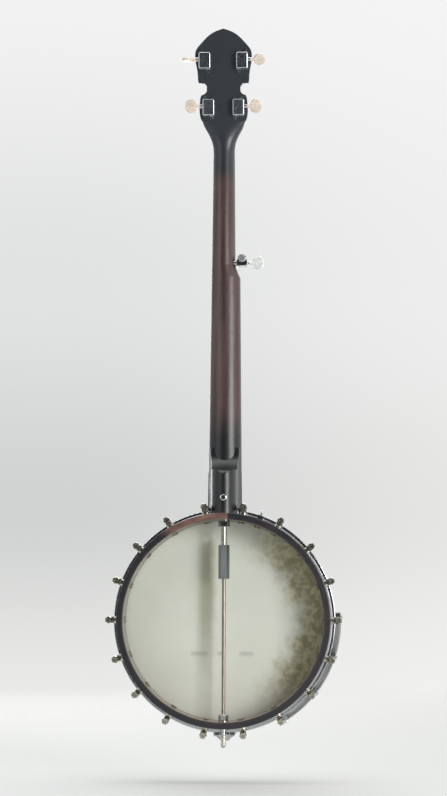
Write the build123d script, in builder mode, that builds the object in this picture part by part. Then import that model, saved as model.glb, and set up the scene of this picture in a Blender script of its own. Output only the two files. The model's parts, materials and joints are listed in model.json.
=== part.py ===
from build123d import *
import math
import os

# Five-string open-back banjo, in millimetres.
#
# Frame: +Z runs up the neck, the strings and the head face -Y, the open back of the pot faces +Y,
# and +X is to the right for someone who looks at the strings. The origin is at the nut, where the
# fingerboard is glued to the neck (y = 0), on the line that runs through the middle of the pot.

os.makedirs("parts", exist_ok=True)

# Radial gaps: round a piece that turns or slides, and round one that is fixed in its hole
RUNNING_GAP = 0.05
FIXED_GAP = 0.02

# Strings and setup
SCALE_LENGTH = 666.75
STRING_RADII = (0.13, 0.15, 0.21, 0.28, 0.13)
STRING_NAMES = ("first", "second", "third", "fourth", "fifth")
NUT_X = 3.2
NUT_STRING_GAP = 7.6
BRIDGE_X = 1.5
BRIDGE_STRING_GAP = 10.6
NUT_THICK = 5.0
NUT_TOP = 7.3
STRING_AT_NUT = -7.0
BRIDGE_TALL = 16.0
BRIDGE_THICK = 4.0
STRING_BEND_R = 3.0
NUT_SLOT_FALL = 0.15
BRIDGE_SLOT_FALL = 0.2
FIFTH_NUT_Z = -163.0
FIFTH_NUT_X = -16.0

# Pot
POT_Z = -624.0
RIM_OUT = 138.0
RIM_IN = 129.5
RIM_FRONT = 9.0
TONE_RING_IN = 132.5
RIM_BACK = 60.0
HEAD_FRONT = 3.0
HEAD_THICK = 0.3
COLLAR_IN = 138.3
FLESH_FRONT = 11.5
FLESH_BACK = 15.5
FLESH_OUT = 141.6
HOOP_IN = 139.0
HOOP_OUT = 145.5
HOOP_FRONT = -2.0
HOOP_BACK = 11.3
HOOP_NOTCH_FRONT = 0.7

# Hooks and their brackets
HOOK_COUNT = 18
HOOK_FIRST_ANGLE = 10.0
HOOK_R = 148.5
HOOK_WIRE = 1.8
HOOK_TIP_R = 142.5
HOOK_TIP_Y = -2.6
HOOK_BACK = 50.5
HOOK_BEND = 3.0
SHOE_Y = 34.0
SHOE_LUG_BACK = 39.0
HOOK_NUT_LONG = 14.5
HOOK_NUT_FLATS = 8.4
SHOE_BOLT_R = 2.3
SHOE_BOLT_HEAD_R = 4.2
SHOE_BOLT_HEAD_TALL = 2.8
EYE_ANGLE = 19.5

SHOE_FOOT_WIDE = 8.4
SHOE_FOOT_LONG = 14.0
SHOE_FOOT_TOP = 142.5
SHOE_WEB_WIDE = 8.0
SHOE_WEB_LONG = 8.0
SHOE_BARREL_R = 4.4
SHOE_BARREL_LONG = 10.0
SHOE_BOLT_DEEP = 5.0
BOLT_SEAT_R = 129.42
EYE_WIDE = 7.0
EYE_FOOT_TALL = 6.0
EYE_R = 3.2
EYE_WIRE = 1.2

# Coordinator rod
ROD_Y = 36.0
UPPER_ROD_R = 3.5
LOWER_ROD_R = 2.4
SLEEVE_TOP = -526.6
SLEEVE_BOTTOM = -570.6
SLEEVE_FLATS = 12.6
ROD_NUT_FLATS = 13.0
ROD_NUT_TALL = 7.0
ROD_NUT_LOW_FLATS = 11.0
NECK_ROD_TOP = -440.0
NECK_ROD_BOTTOM = -546.0
HEEL_WASHER_TOP = -494.8
ROD_WASHER_R = 8.0
ROD_NUT_TOP = -496.0
LOWER_ROD_TOP = -549.0
TAIL_NUT_TOP = -745.0
TAIL_NUT_TALL = 7.0
TAIL_WASHER_BOTTOM = -753.28
TAIL_WASHER_R = 7.0
ROD_END_Z = -783.0

# Tailpiece
STRAP_TOP = -770.0
STRAP_THICK = 1.6
STRAP_WIDE = 12.0
STRAP_BACK = 43.0
TAIL_SPACER_R = 4.5
END_NUT_BOTTOM = -787.0
END_NUT_FLANGE_R = 5.2
END_NUT_R = 3.4
TAIL_PLATE_Y = -6.0
TAIL_PLATE_TOP = -752.0
TAIL_COVER_BACK = -9.6
TAIL_COVER_WIDE = 30.0
TAIL_COVER_TOP = -742.0
TAIL_COVER_BOTTOM = -781.0
TAIL_COVER_TIP = 10.0
TAIL_EAR_X = 10.0
TAIL_EAR_WIDE = 7.0
TAIL_EAR_DEEP = 24.0
TAIL_EAR_Z = -773.0
TAIL_STRING_GAP = 5.0
TAIL_PIN_R = 0.9
TAIL_PIN_Z = -747.0
TAIL_SCREW_Z = -761.0
TAIL_SCREW_R = 1.6
TAIL_SCREW_HEAD_R = 3.2

# Armrest, on the fifth-string side
ARMREST_FROM = -152.0
ARMREST_ARC = 66.0
ARMREST_IN = 138.5
ARMREST_OUT = 153.2
ARMREST_FRONT = -10.4
ARMREST_BACK = 8.0
ARMREST_THICK = 1.2
CLAMP_ANGLES = (-90.0, -110.0, -130.0, -150.0)
CLAMP_Y = 4.0
CLAMP_LONG = 7.0
CLAMP_WIDE = 13.0
CLAMP_IN = 146.2
CLAMP_SCREW_ACROSS = 5.0
CLAMP_SCREW_R = 1.4
CLAMP_SCREW_HEAD_R = 2.6

# Neck
NUT_WIDTH = 29.6
BOARD_END_Z = -487.0
BOARD_END_WIDTH = 45.0
BOARD_THICK = 5.5
FRET_COUNT = 22
SHOULDER_TOP = -150.0
SHOULDER_END = -166.0
SHAFT_DEEP_NUT = 17.0
SHAFT_DEEP_HEEL = 20.5
SHAFT_SIDE = 3.0
HEEL_TOP = -402.0
HEEL_CREST = -429.0
HEEL_DEEP = 58.0
HEEL_BACK_HALF = 17.0
HEEL_START_Y = 17.0
HEEL_CREST_R = 8.0
HEEL_CHEEK_Y = 5.0
HEEL_WAIST_Y = 28.0
HEEL_ROUND_Y = 37.0
HEEL_TAPER = 20.0
HEEL_TAPER_DEEP = 9.0
TRUSS_X = 1.6
TRUSS_WIDE = 6.0
TRUSS_DEEP = 9.0
TRUSS_TOP = -6.0
TRUSS_BOTTOM = -440.0
FRET_R = 1.1
FRET_TANG = 0.6
FRET_TANG_DEEP = 2.0
DOT_FRETS = (3, 5, 7, 10, 12, 15, 17, 19)
DOT_R = 2.6
DOT_DEEP = 1.0
FIFTH_NUT_R = 1.5
STRAP_BUTTON_Z = -466.0
STRAP_SCREW_R = 1.9
STRAP_SCREW_HEAD_R = 3.6
STRAP_SCREW_DEEP = 16.0
TRUSS_COVER_THICK = 1.2
TRUSS_COVER_SCREWS = (7.0, 25.0)
NECK_CUT_HOOP_R = 146.4
NECK_CUT_HOOP_Y = 17.5

# The shaft's round back, and how it spreads into the peghead above the nut: height, half width,
# depth where the back curve starts, full depth, fullness of the curve, narrowing towards the front
ROUND_BACK = 0.5523
FLARE = (
    (16.7, 15.4, 5.0, 17.3, 0.58, 0.2),
    (29.9, 20.1, 9.0, 18.9, 0.72, 0.6),
    (39.7, 25.9, 14.0, 20.8, 0.88, 1.0),
    (46.6, 28.6, 19.0, 22.15, 0.97, 1.9),
)

# Peghead: a flat blade that leans back from the nut
PEGHEAD_LEAN = 12.0
PEGHEAD_THICK = 13.0
OVERLAY_THICK = 2.0

# Tuners on the peghead, measured in the peghead's own plane (across, up from the nut)
TUNER_PLACES = ((25.2, 126.2), (20.2, 63.7))
TUNER_NAMES = ("upper_treble", "upper_bass", "lower_treble", "lower_bass")
BUTTON_TWISTS = (90, 50, 0, 20)
GEAR_TEETH = 14
TOOTH_NOTCH_R = 0.4
GEAR_R = 4.2
GEAR_THICK = 4.2
WORM_R = 2.1
WORM_HIGH = 4.0
WORM_LONG = 10.0
WORM_SHAFT_R = 1.6
WORM_SHAFT_IN = -6.3
WORM_UP = 1.4
COLLAR_R = 3.0
COLLAR_LONG = 3.0
POST_R = 3.0
POST_TALL = 20.0
PLATE_THICK = 1.2
COVER_WIDE = 16.0
COVER_LONG = 22.0
COVER_TALL = 8.6
COVER_WALL = 0.9
BUTTON_REACH = 23.6
BUTTON_LONG = 16.0
BUTTON_WIDE = 20.0
BUTTON_THICK = 4.4
BUTTON_STEM_R = 2.6
BUTTON_STEM_START = 11.5
BUTTON_STEM_LONG = 9.0
STRING_WIND_T = -9.0
STRING_WIND_GAP = 0.3

PLATE_WIDE = 16.4
PLATE_LONG = 22.4
PLATE_EAR_R = 3.3
POST_DROP = 5.0
POST_STEP_R = 2.1
BUSHING_R = 4.6
BUSHING_FLANGE_R = 7.0
BUSHING_DEEP = 8.0
TUNER_SCREW_R = 0.9
TUNER_SCREW_HEAD_R = 1.6
TUNER_SCREW_OUT = 4.6
TUNER_SCREW_UP = 13.0

# Fifth-string tuner on the side of the neck
SHANK_R = 3.3
SHANK_OUT = -12.9
SHANK_LONG = 10.0
FIFTH_POST_X = -21.8
FIFTH_POST_Z = -140.6
FIFTH_WORM_Z = -146.2
FIFTH_WORM_Y = 7.2
FIFTH_GEAR_R = 3.2
FIFTH_GEAR_TEETH = 12
FIFTH_WORM_R = 2.1
FIFTH_POST_R = 2.6
FIFTH_STEP_R = 1.6
FIFTH_SHAFT_R = 1.4
FIFTH_BUTTON_X = -44.0
FIFTH_HOUSE_X = (-29.4, -14.0)
FIFTH_HOUSE_Y = (1.0, 13.4)
FIFTH_HOUSE_LONG = 9.4
FIFTH_BOSS_R = 5.6
FIFTH_CAP_R = 5.0
FIFTH_CAVITY_LONG = 9.0
FIFTH_GEAR_FRONT = 5.2
FIFTH_GEAR_THICK = 4.0
FIFTH_WORM_MIDDLE = -21.8
FIFTH_WORM_LONG = 9.0
FIFTH_SHAFT_IN = -17.0
FIFTH_POST_FRONT = -14.0

LEAN = math.radians(PEGHEAD_LEAN)
PEGHEAD = Plane(
    origin=(NUT_X, 0, NUT_THICK),
    x_dir=(-1, 0, 0),
    z_dir=(0, math.cos(LEAN), -math.sin(LEAN)),
)
POT_SECTION = Plane.XY.offset(POT_Z)
POT_AXIS = Axis((0, 0, POT_Z), (0, 1, 0))
POT_FACE = Plane(origin=(0, 0, POT_Z), x_dir=(1, 0, 0), z_dir=(0, 1, 0))
STRING_SIDE = Plane(origin=(0, 0, 0), x_dir=(1, 0, 0), z_dir=(0, -1, 0))
TUNERS = [(side * across, up) for across, up in TUNER_PLACES for side in (-1, 1)]


def save(builder, name):
    builder.part.label = name
    export_step(builder.part, f"parts/{name}.step")


def treble_edge(z):
    """Right edge of the neck, seen from the strings' side, at height z."""
    return NUT_X + NUT_WIDTH / 2 - z * (BOARD_END_WIDTH / 2 - NUT_X - NUT_WIDTH / 2) / -BOARD_END_Z


def bass_edge(z, with_fifth):
    """Left edge of the neck, which is wider by one string from the fifth fret down."""
    narrow = NUT_X - NUT_WIDTH / 2 + z * 0.008
    return -treble_edge(z) if with_fifth else narrow


def around_pot(angle):
    """Place of a fitting that is modelled at the top of a pot centred on the origin."""
    return Location((0, 0, POT_Z), (0, angle, 0))


HOOK_ANGLES = [HOOK_FIRST_ANGLE + 360 / HOOK_COUNT * k for k in range(HOOK_COUNT)]
HOOK_PLACES = [around_pot(angle) for angle in HOOK_ANGLES]
EYE_PLACE = around_pot(-EYE_ANGLE)
CLAMP_PLACES = [around_pot(angle) for angle in CLAMP_ANGLES]
ARMREST_START = Plane(
    origin=(0, 0, POT_Z),
    x_dir=(math.sin(math.radians(ARMREST_FROM)), 0, math.cos(math.radians(ARMREST_FROM))),
    z_dir=(-math.cos(math.radians(ARMREST_FROM)), 0, math.sin(math.radians(ARMREST_FROM))),
)


def pot_ring(r_in, r_out, y_front, y_back, edge):
    """Turned ring about the pot's axis, with its four edges eased."""
    with BuildPart() as ring:
        with BuildSketch(POT_SECTION) as section:
            with Locations(((r_in + r_out) / 2, (y_front + y_back) / 2)):
                Rectangle(r_out - r_in, y_back - y_front)
            fillet(section.vertices(), edge)
        revolve(axis=POT_AXIS)
    return ring


# ---------------------------------------------------------------- pot

rim = pot_ring(RIM_IN, RIM_OUT, RIM_FRONT, RIM_BACK, 1.0)
with rim:
    with Locations(*[place * Location((0, SHOE_Y, RIM_OUT)) for place in HOOK_PLACES + [EYE_PLACE]]):
        Cylinder(SHOE_BOLT_R + RUNNING_GAP, 4 * (RIM_OUT - RIM_IN), mode=Mode.SUBTRACT)
    with Locations((0, ROD_Y, POT_Z + RIM_OUT)):
        Cylinder(UPPER_ROD_R + RUNNING_GAP, 40, mode=Mode.SUBTRACT)
    with Locations((0, ROD_Y, POT_Z - RIM_OUT)):
        Cylinder(LOWER_ROD_R + RUNNING_GAP, 40, mode=Mode.SUBTRACT)
save(rim, "rim")

tone_ring = pot_ring(TONE_RING_IN, RIM_OUT, HEAD_FRONT + HEAD_THICK, RIM_FRONT, 1.5)
save(tone_ring, "tone_ring")

with BuildPart() as head_skin:
    with BuildSketch(POT_FACE.offset(HEAD_FRONT)):
        Circle(COLLAR_IN + HEAD_THICK)
    extrude(amount=HEAD_THICK)
save(head_skin, "head_skin")

with BuildPart() as head_collar:
    with BuildSketch(POT_FACE.offset(HEAD_FRONT + HEAD_THICK)):
        Circle(COLLAR_IN + HEAD_THICK)
        Circle(COLLAR_IN, mode=Mode.SUBTRACT)
    extrude(amount=FLESH_BACK - HEAD_FRONT - HEAD_THICK)
save(head_collar, "head_collar")

flesh_hoop = pot_ring(COLLAR_IN + HEAD_THICK + RUNNING_GAP, FLESH_OUT, FLESH_FRONT, FLESH_BACK, 0.6)
save(flesh_hoop, "flesh_hoop")

tension_hoop = pot_ring(HOOP_IN, HOOP_OUT, HOOP_FRONT, HOOP_BACK, 0.8)
with tension_hoop:
    # the hooks sit in half-round notches in the front edge
    with Locations(*[place * Location((0, HOOK_TIP_Y, HOOP_OUT - 3)) for place in HOOK_PLACES]):
        Cylinder(HOOK_WIRE + RUNNING_GAP, 12, mode=Mode.SUBTRACT)
    # the front edge is cut down where the fingerboard passes over it
    with Locations((0, HOOP_NOTCH_FRONT - 5, POT_Z + HOOP_OUT)):
        Box(BOARD_END_WIDTH + 3, 10, 24, mode=Mode.SUBTRACT)
save(tension_hoop, "tension_hoop")

# Fittings that repeat round the pot are modelled once, at the top of a pot centred on the origin.

with BuildPart() as shoe:
    # a foot that spreads on the rim, a web, and the barrel that the hook runs through
    with Locations((0, SHOE_Y, SHOE_FOOT_TOP / 2 + RIM_OUT / 2 - 1)):
        Box(SHOE_FOOT_WIDE, SHOE_FOOT_LONG, SHOE_FOOT_TOP - RIM_OUT + 2)
    fillet(shoe.edges().filter_by(Axis.Z), 2.4)
    fillet(shoe.faces().sort_by(Axis.Z)[-1].edges(), 1.2)
    with Locations((0, SHOE_Y, (HOOK_R + RIM_OUT) / 2)):
        Box(SHOE_WEB_WIDE, SHOE_WEB_LONG, HOOK_R - RIM_OUT)
    with BuildSketch(Plane.XZ.offset(SHOE_BARREL_LONG / 2 - SHOE_Y)):
        with Locations((0, HOOK_R)):
            Circle(SHOE_BARREL_R)
    extrude(amount=-SHOE_BARREL_LONG)
    fillet(shoe.edges().filter_by(GeomType.CIRCLE).sort_by(SortBy.LENGTH)[-2:], 0.7)
    with Locations((0, SHOE_Y, 0)):
        Cylinder(RIM_OUT + FIXED_GAP, 60, rotation=(90, 0, 0), mode=Mode.SUBTRACT)
    with Locations((0, SHOE_Y, HOOK_R)):
        Cylinder(HOOK_WIRE + RUNNING_GAP, 40, rotation=(90, 0, 0), mode=Mode.SUBTRACT)
    with Locations((0, SHOE_Y, RIM_OUT)):
        Cylinder(SHOE_BOLT_R + FIXED_GAP, 2 * SHOE_BOLT_DEEP, mode=Mode.SUBTRACT)
with BuildPart() as bracket_shoes:
    with Locations(*HOOK_PLACES):
        add(shoe.part)
save(bracket_shoes, "bracket_shoes")

with BuildPart() as shoe_bolt:
    with BuildSketch(Plane.XY.offset(BOLT_SEAT_R)):
        with Locations((0, SHOE_Y)):
            Circle(SHOE_BOLT_R)
    extrude(amount=RIM_OUT + SHOE_BOLT_DEEP - BOLT_SEAT_R - 0.1)
    with BuildSketch(Plane.XY.offset(BOLT_SEAT_R)) as head:
        with Locations((0, SHOE_Y)):
            RegularPolygon(SHOE_BOLT_HEAD_R, 6)
    extrude(amount=-SHOE_BOLT_HEAD_TALL)
    chamfer(shoe_bolt.faces().sort_by(Axis.Z)[0].edges(), 0.5)
with BuildPart() as shoe_bolts:
    with Locations(*HOOK_PLACES, EYE_PLACE):
        add(shoe_bolt.part)
save(shoe_bolts, "shoe_bolts")

with BuildPart() as hook:
    with BuildLine() as hook_line:
        FilletPolyline(
            (0, HOOK_BACK, HOOK_R),
            (0, HOOK_TIP_Y, HOOK_R),
            (0, HOOK_TIP_Y, HOOK_TIP_R),
            radius=HOOK_BEND,
        )
    with BuildSketch(Plane(origin=(0, HOOK_BACK, HOOK_R), z_dir=(0, -1, 0))):
        Circle(HOOK_WIRE)
    sweep()
with BuildPart() as hooks:
    with Locations(*HOOK_PLACES):
        add(hook.part)
save(hooks, "hooks")

with BuildPart() as hook_nut:
    with BuildSketch(Plane(origin=(0, SHOE_LUG_BACK + 0.02, HOOK_R), x_dir=(1, 0, 0), z_dir=(0, 1, 0))):
        RegularPolygon(HOOK_NUT_FLATS / 2, 6, major_radius=False)
        Circle(HOOK_WIRE + 0.02, mode=Mode.SUBTRACT)
    extrude(amount=HOOK_NUT_LONG)
    chamfer(hook_nut.faces().sort_by(Axis.Y)[-1].outer_wire().edges(), 0.6)
with BuildPart() as hook_nuts:
    with Locations(*HOOK_PLACES):
        add(hook_nut.part)
save(hook_nuts, "hook_nuts")

with BuildPart() as strap_eye:
    with Locations(EYE_PLACE * Location((0, SHOE_Y, RIM_OUT + 2))):
        Box(EYE_WIDE, EYE_WIDE + 1, 2 * EYE_FOOT_TALL - 4)
    with Locations(EYE_PLACE * Location((0, SHOE_Y, RIM_OUT + EYE_FOOT_TALL + EYE_R), (0, 90, 0))):
        Torus(EYE_R, EYE_WIRE)
    with Locations((0, SHOE_Y, POT_Z)):
        Cylinder(RIM_OUT + FIXED_GAP, 60, rotation=(90, 0, 0), mode=Mode.SUBTRACT)
    with Locations(EYE_PLACE * Location((0, SHOE_Y, RIM_OUT))):
        Cylinder(SHOE_BOLT_R + FIXED_GAP, 2 * SHOE_BOLT_DEEP, mode=Mode.SUBTRACT)
save(strap_eye, "strap_eye")

# ---------------------------------------------------------------- coordinator rod and tailpiece


def rod_piece(z_top, z_bottom, radius):
    """Plain round length of the coordinator rod's line."""
    with BuildPart() as piece:
        with BuildSketch(Plane.XY.offset(z_bottom)):
            with Locations((0, ROD_Y)):
                Circle(radius)
        extrude(amount=z_top - z_bottom)
    return piece


def hex_piece(z_top, z_bottom, flats, hole):
    """Hexagonal nut on the coordinator rod's line, with its ends eased."""
    with BuildPart() as piece:
        with BuildSketch(Plane.XY.offset(z_bottom)):
            with Locations((0, ROD_Y)):
                RegularPolygon(flats / 2, 6, major_radius=False)
        extrude(amount=z_top - z_bottom)
        end_faces = piece.faces().sort_by(Axis.Z)
        chamfer(end_faces[0].edges() + end_faces[-1].edges(), 0.6)
        with Locations((0, ROD_Y, (z_top + z_bottom) / 2)):
            Cylinder(hole, z_top - z_bottom + 10, mode=Mode.SUBTRACT)
    return piece


def washer_piece(z_top, z_bottom, radius, hole):
    with BuildPart() as piece:
        with BuildSketch(Plane.XY.offset(z_bottom)):
            with Locations((0, ROD_Y)):
                Circle(radius)
                Circle(hole, mode=Mode.SUBTRACT)
        extrude(amount=z_top - z_bottom)
    return piece


neck_rod = rod_piece(NECK_ROD_TOP, NECK_ROD_BOTTOM, UPPER_ROD_R)
save(neck_rod, "neck_rod")

heel_washer = washer_piece(HEEL_WASHER_TOP, ROD_NUT_TOP + 0.02, ROD_WASHER_R, UPPER_ROD_R + RUNNING_GAP)
tail_washer = washer_piece(
    TAIL_NUT_TOP - TAIL_NUT_TALL - 0.02, TAIL_WASHER_BOTTOM, TAIL_WASHER_R, LOWER_ROD_R + RUNNING_GAP
)
with BuildPart() as rod_washers:
    add([heel_washer.part, tail_washer.part])
save(rod_washers, "rod_washers")

heel_nut = hex_piece(ROD_NUT_TOP, ROD_NUT_TOP - ROD_NUT_TALL, ROD_NUT_FLATS, UPPER_ROD_R + FIXED_GAP)
save(heel_nut, "heel_nut")

coupling_sleeve = hex_piece(SLEEVE_TOP, SLEEVE_BOTTOM, SLEEVE_FLATS, LOWER_ROD_R + FIXED_GAP)
with coupling_sleeve:
    with Locations((0, ROD_Y, SLEEVE_TOP)):
        Cylinder(UPPER_ROD_R + FIXED_GAP, SLEEVE_TOP - SLEEVE_BOTTOM - 3, mode=Mode.SUBTRACT)
save(coupling_sleeve, "coupling_sleeve")

lower_rod = rod_piece(LOWER_ROD_TOP, ROD_END_Z, LOWER_ROD_R)
save(lower_rod, "lower_rod")

tail_nut = hex_piece(TAIL_NUT_TOP, TAIL_NUT_TOP - TAIL_NUT_TALL, ROD_NUT_LOW_FLATS, LOWER_ROD_R + FIXED_GAP)
save(tail_nut, "tail_nut")

with BuildPart() as tail_spacer:
    with BuildSketch(Plane.XY.offset(STRAP_TOP + 0.02)):
        with Locations((0, ROD_Y)):
            Circle(TAIL_SPACER_R)
            Circle(LOWER_ROD_R + RUNNING_GAP, mode=Mode.SUBTRACT)
    extrude(amount=POT_Z - RIM_OUT + 3 - STRAP_TOP)
    with Locations((0, ROD_Y, POT_Z)):
        Cylinder(RIM_OUT + FIXED_GAP, 60, rotation=(90, 0, 0), mode=Mode.SUBTRACT)
save(tail_spacer, "tail_spacer")

with BuildPart() as end_nut:
    with BuildSketch(Plane.XZ.offset(-ROD_Y)):
        with BuildLine():
            Polyline(
                (0, END_NUT_BOTTOM),
                (0, STRAP_TOP - STRAP_THICK - 0.02),
                (END_NUT_FLANGE_R, STRAP_TOP - STRAP_THICK - 0.02),
                (END_NUT_FLANGE_R, STRAP_TOP - STRAP_THICK - 2),
                (END_NUT_R, STRAP_TOP - STRAP_THICK - 2.8),
                (END_NUT_R, END_NUT_BOTTOM + END_NUT_R),
            )
            RadiusArc((END_NUT_R, END_NUT_BOTTOM + END_NUT_R), (0, END_NUT_BOTTOM), END_NUT_R)
        make_face()
    revolve(axis=Axis((0, ROD_Y, 0), (0, 0, 1)))
    with Locations((0, ROD_Y, STRAP_TOP)):
        Cylinder(LOWER_ROD_R + FIXED_GAP, 2 * (STRAP_TOP - ROD_END_Z + 0.1), mode=Mode.SUBTRACT)
save(end_nut, "end_nut")

with BuildPart() as tailpiece_bracket:
    with Locations((0, (TAIL_PLATE_Y + STRAP_BACK) / 2, STRAP_TOP - STRAP_THICK / 2)):
        Box(STRAP_WIDE, STRAP_BACK - TAIL_PLATE_Y, STRAP_THICK)
    with Locations((0, TAIL_PLATE_Y + STRAP_THICK / 2, (STRAP_TOP - STRAP_THICK + TAIL_PLATE_TOP) / 2)):
        Box(STRAP_WIDE, STRAP_THICK, TAIL_PLATE_TOP - STRAP_TOP + STRAP_THICK)
    fillet(tailpiece_bracket.edges().filter_by(Axis.X).sort_by(Axis.Z)[0], 1.2)
    with Locations((0, ROD_Y, STRAP_TOP)):
        Cylinder(LOWER_ROD_R + 0.2, 10, mode=Mode.SUBTRACT)
    with Locations((0, TAIL_PLATE_Y, TAIL_SCREW_Z)):
        Cylinder(TAIL_SCREW_R + FIXED_GAP, 10, rotation=(90, 0, 0), mode=Mode.SUBTRACT)
save(tailpiece_bracket, "tailpiece_bracket")

TAIL_STRING_X = [BRIDGE_X + TAIL_STRING_GAP * (2 - k) for k in range(5)]

with BuildPart() as tailpiece_cover:
    with BuildSketch(STRING_SIDE.offset(-TAIL_COVER_BACK)) as cover_outline:
        with BuildLine():
            Polyline(
                (-TAIL_COVER_WIDE / 2, TAIL_COVER_TOP),
                (TAIL_COVER_WIDE / 2, TAIL_COVER_TOP),
                (TAIL_COVER_WIDE / 2, TAIL_COVER_BOTTOM + 9),
                (TAIL_COVER_TIP / 2, TAIL_COVER_BOTTOM),
                (-TAIL_COVER_TIP / 2, TAIL_COVER_BOTTOM),
                (-TAIL_COVER_WIDE / 2, TAIL_COVER_BOTTOM + 9),
                close=True,
            )
        make_face()
        fillet(cover_outline.vertices(), 2)
    extrude(amount=STRAP_THICK)
    # two ears turn down over the hoop's edge on either side of the bracket
    with Locations(
        (TAIL_EAR_X, TAIL_COVER_BACK + TAIL_EAR_DEEP / 2, TAIL_EAR_Z),
        (-TAIL_EAR_X, TAIL_COVER_BACK + TAIL_EAR_DEEP / 2, TAIL_EAR_Z),
    ):
        Box(TAIL_EAR_WIDE, TAIL_EAR_DEEP, STRAP_THICK)
    # pins that hold the strings' loops
    with Locations(*[(x, TAIL_COVER_BACK + 1.4, TAIL_PIN_Z) for x in TAIL_STRING_X]):
        Cylinder(TAIL_PIN_R, 2.8, rotation=(90, 0, 0))
    with Locations((0, TAIL_COVER_BACK, TAIL_SCREW_Z)):
        Cylinder(TAIL_SCREW_R + FIXED_GAP, 10, rotation=(90, 0, 0), mode=Mode.SUBTRACT)
save(tailpiece_cover, "tailpiece_cover")

with BuildPart() as tailpiece_screw:
    with BuildSketch(STRING_SIDE.offset(STRAP_THICK - TAIL_COVER_BACK + 0.02)):
        with Locations((0, TAIL_SCREW_Z)):
            Circle(TAIL_SCREW_HEAD_R)
    extrude(amount=2)
    fillet(tailpiece_screw.faces().sort_by(Axis.Y)[0].edges(), 0.8)
    with BuildSketch(STRING_SIDE.offset(STRAP_THICK - TAIL_COVER_BACK + 0.02)):
        with Locations((0, TAIL_SCREW_Z)):
            Circle(TAIL_SCREW_R)
    extrude(amount=-(TAIL_PLATE_Y - TAIL_COVER_BACK + 2 * STRAP_THICK + 0.5))
save(tailpiece_screw, "tailpiece_screw")

# ---------------------------------------------------------------- armrest

with BuildPart() as armrest:
    with BuildSketch(ARMREST_START) as armrest_section:
        with BuildLine():
            Polyline(
                (ARMREST_IN, ARMREST_FRONT + 1.5),
                (ARMREST_IN + 1.2, ARMREST_FRONT),
                (ARMREST_OUT, ARMREST_FRONT),
                (ARMREST_OUT, ARMREST_BACK),
                (ARMREST_OUT - ARMREST_THICK, ARMREST_BACK),
                (ARMREST_OUT - ARMREST_THICK, ARMREST_FRONT + ARMREST_THICK),
                (ARMREST_IN + 1.6, ARMREST_FRONT + ARMREST_THICK),
                (ARMREST_IN, ARMREST_FRONT + 1.5 + ARMREST_THICK),
                close=True,
            )
        make_face()
        fillet(armrest_section.vertices().group_by(Axis.X)[-1].sort_by(Axis.Y)[0], 1.1)
    revolve(axis=POT_AXIS, revolution_arc=ARMREST_ARC)
    with Locations(*[place * Location((CLAMP_SCREW_ACROSS, CLAMP_Y, ARMREST_OUT)) for place in CLAMP_PLACES]):
        Cylinder(CLAMP_SCREW_R + FIXED_GAP, 6, mode=Mode.SUBTRACT)
save(armrest, "armrest")

with BuildPart() as armrest_clamp:
    with Locations((CLAMP_SCREW_ACROSS / 2, CLAMP_Y, (CLAMP_IN + ARMREST_OUT) / 2)):
        Box(CLAMP_WIDE, CLAMP_LONG, ARMREST_OUT - CLAMP_IN)
    with Locations((0, CLAMP_Y, HOOK_R)):
        Cylinder(HOOK_WIRE + RUNNING_GAP, 20, rotation=(90, 0, 0), mode=Mode.SUBTRACT)
    with Locations((CLAMP_SCREW_ACROSS, CLAMP_Y, ARMREST_OUT)):
        Cylinder(CLAMP_SCREW_R + FIXED_GAP, 12, mode=Mode.SUBTRACT)
    with BuildSketch(Plane.XZ.offset(-CLAMP_Y)):
        Circle(ARMREST_OUT + 5)
        Circle(ARMREST_OUT - ARMREST_THICK - 0.02, mode=Mode.SUBTRACT)
    extrude(amount=CLAMP_LONG, both=True, mode=Mode.SUBTRACT)
with BuildPart() as armrest_clamps:
    with Locations(*CLAMP_PLACES):
        add(armrest_clamp.part)
save(armrest_clamps, "armrest_clamps")

with BuildPart() as clamp_screw:
    with Locations((CLAMP_SCREW_ACROSS, CLAMP_Y, ARMREST_OUT - 1.2)):
        Cylinder(CLAMP_SCREW_R, 5.4)
    with Locations((CLAMP_SCREW_ACROSS, CLAMP_Y, ARMREST_OUT + 1.1)):
        Cylinder(CLAMP_SCREW_HEAD_R, 2)
    fillet(clamp_screw.faces().sort_by(Axis.Z)[-1].edges(), 0.7)
with BuildPart() as clamp_screws:
    with Locations(*CLAMP_PLACES):
        add(clamp_screw.part)
save(clamp_screws, "clamp_screws")

# ---------------------------------------------------------------- neck


def neck_section(z, left, right, side, deep, fullness, splay=0):
    """Section of the neck at height z: flat under the fingerboard, and behind it a curve that is
    half an ellipse at ROUND_BACK and comes near to a rectangle as its fullness nears 1."""
    middle = (left + right) / 2
    half = (right - left) / 2
    rise = fullness * (deep - side)
    with BuildSketch(Plane.XY.offset(z)) as section:
        with BuildLine():
            Polyline((left, side), (left + splay, 0), (right - splay, 0), (right, side))
            Bezier((right, side), (right, side + rise), (middle + fullness * half, deep), (middle, deep))
            Bezier((middle, deep), (middle - fullness * half, deep), (left, side + rise), (left, side))
        make_face()
    return section.sketch


def shaft_section(z, with_fifth, deep):
    return neck_section(z, bass_edge(z, with_fifth), treble_edge(z), SHAFT_SIDE, deep, ROUND_BACK)


def flare_section(z, half, side, deep, fullness, splay):
    return neck_section(z, NUT_X - half, NUT_X + half, side, deep, fullness, splay)


def shaft_deep(z):
    return SHAFT_DEEP_NUT + (SHAFT_DEEP_HEEL - SHAFT_DEEP_NUT) * z / HEEL_CREST


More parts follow.
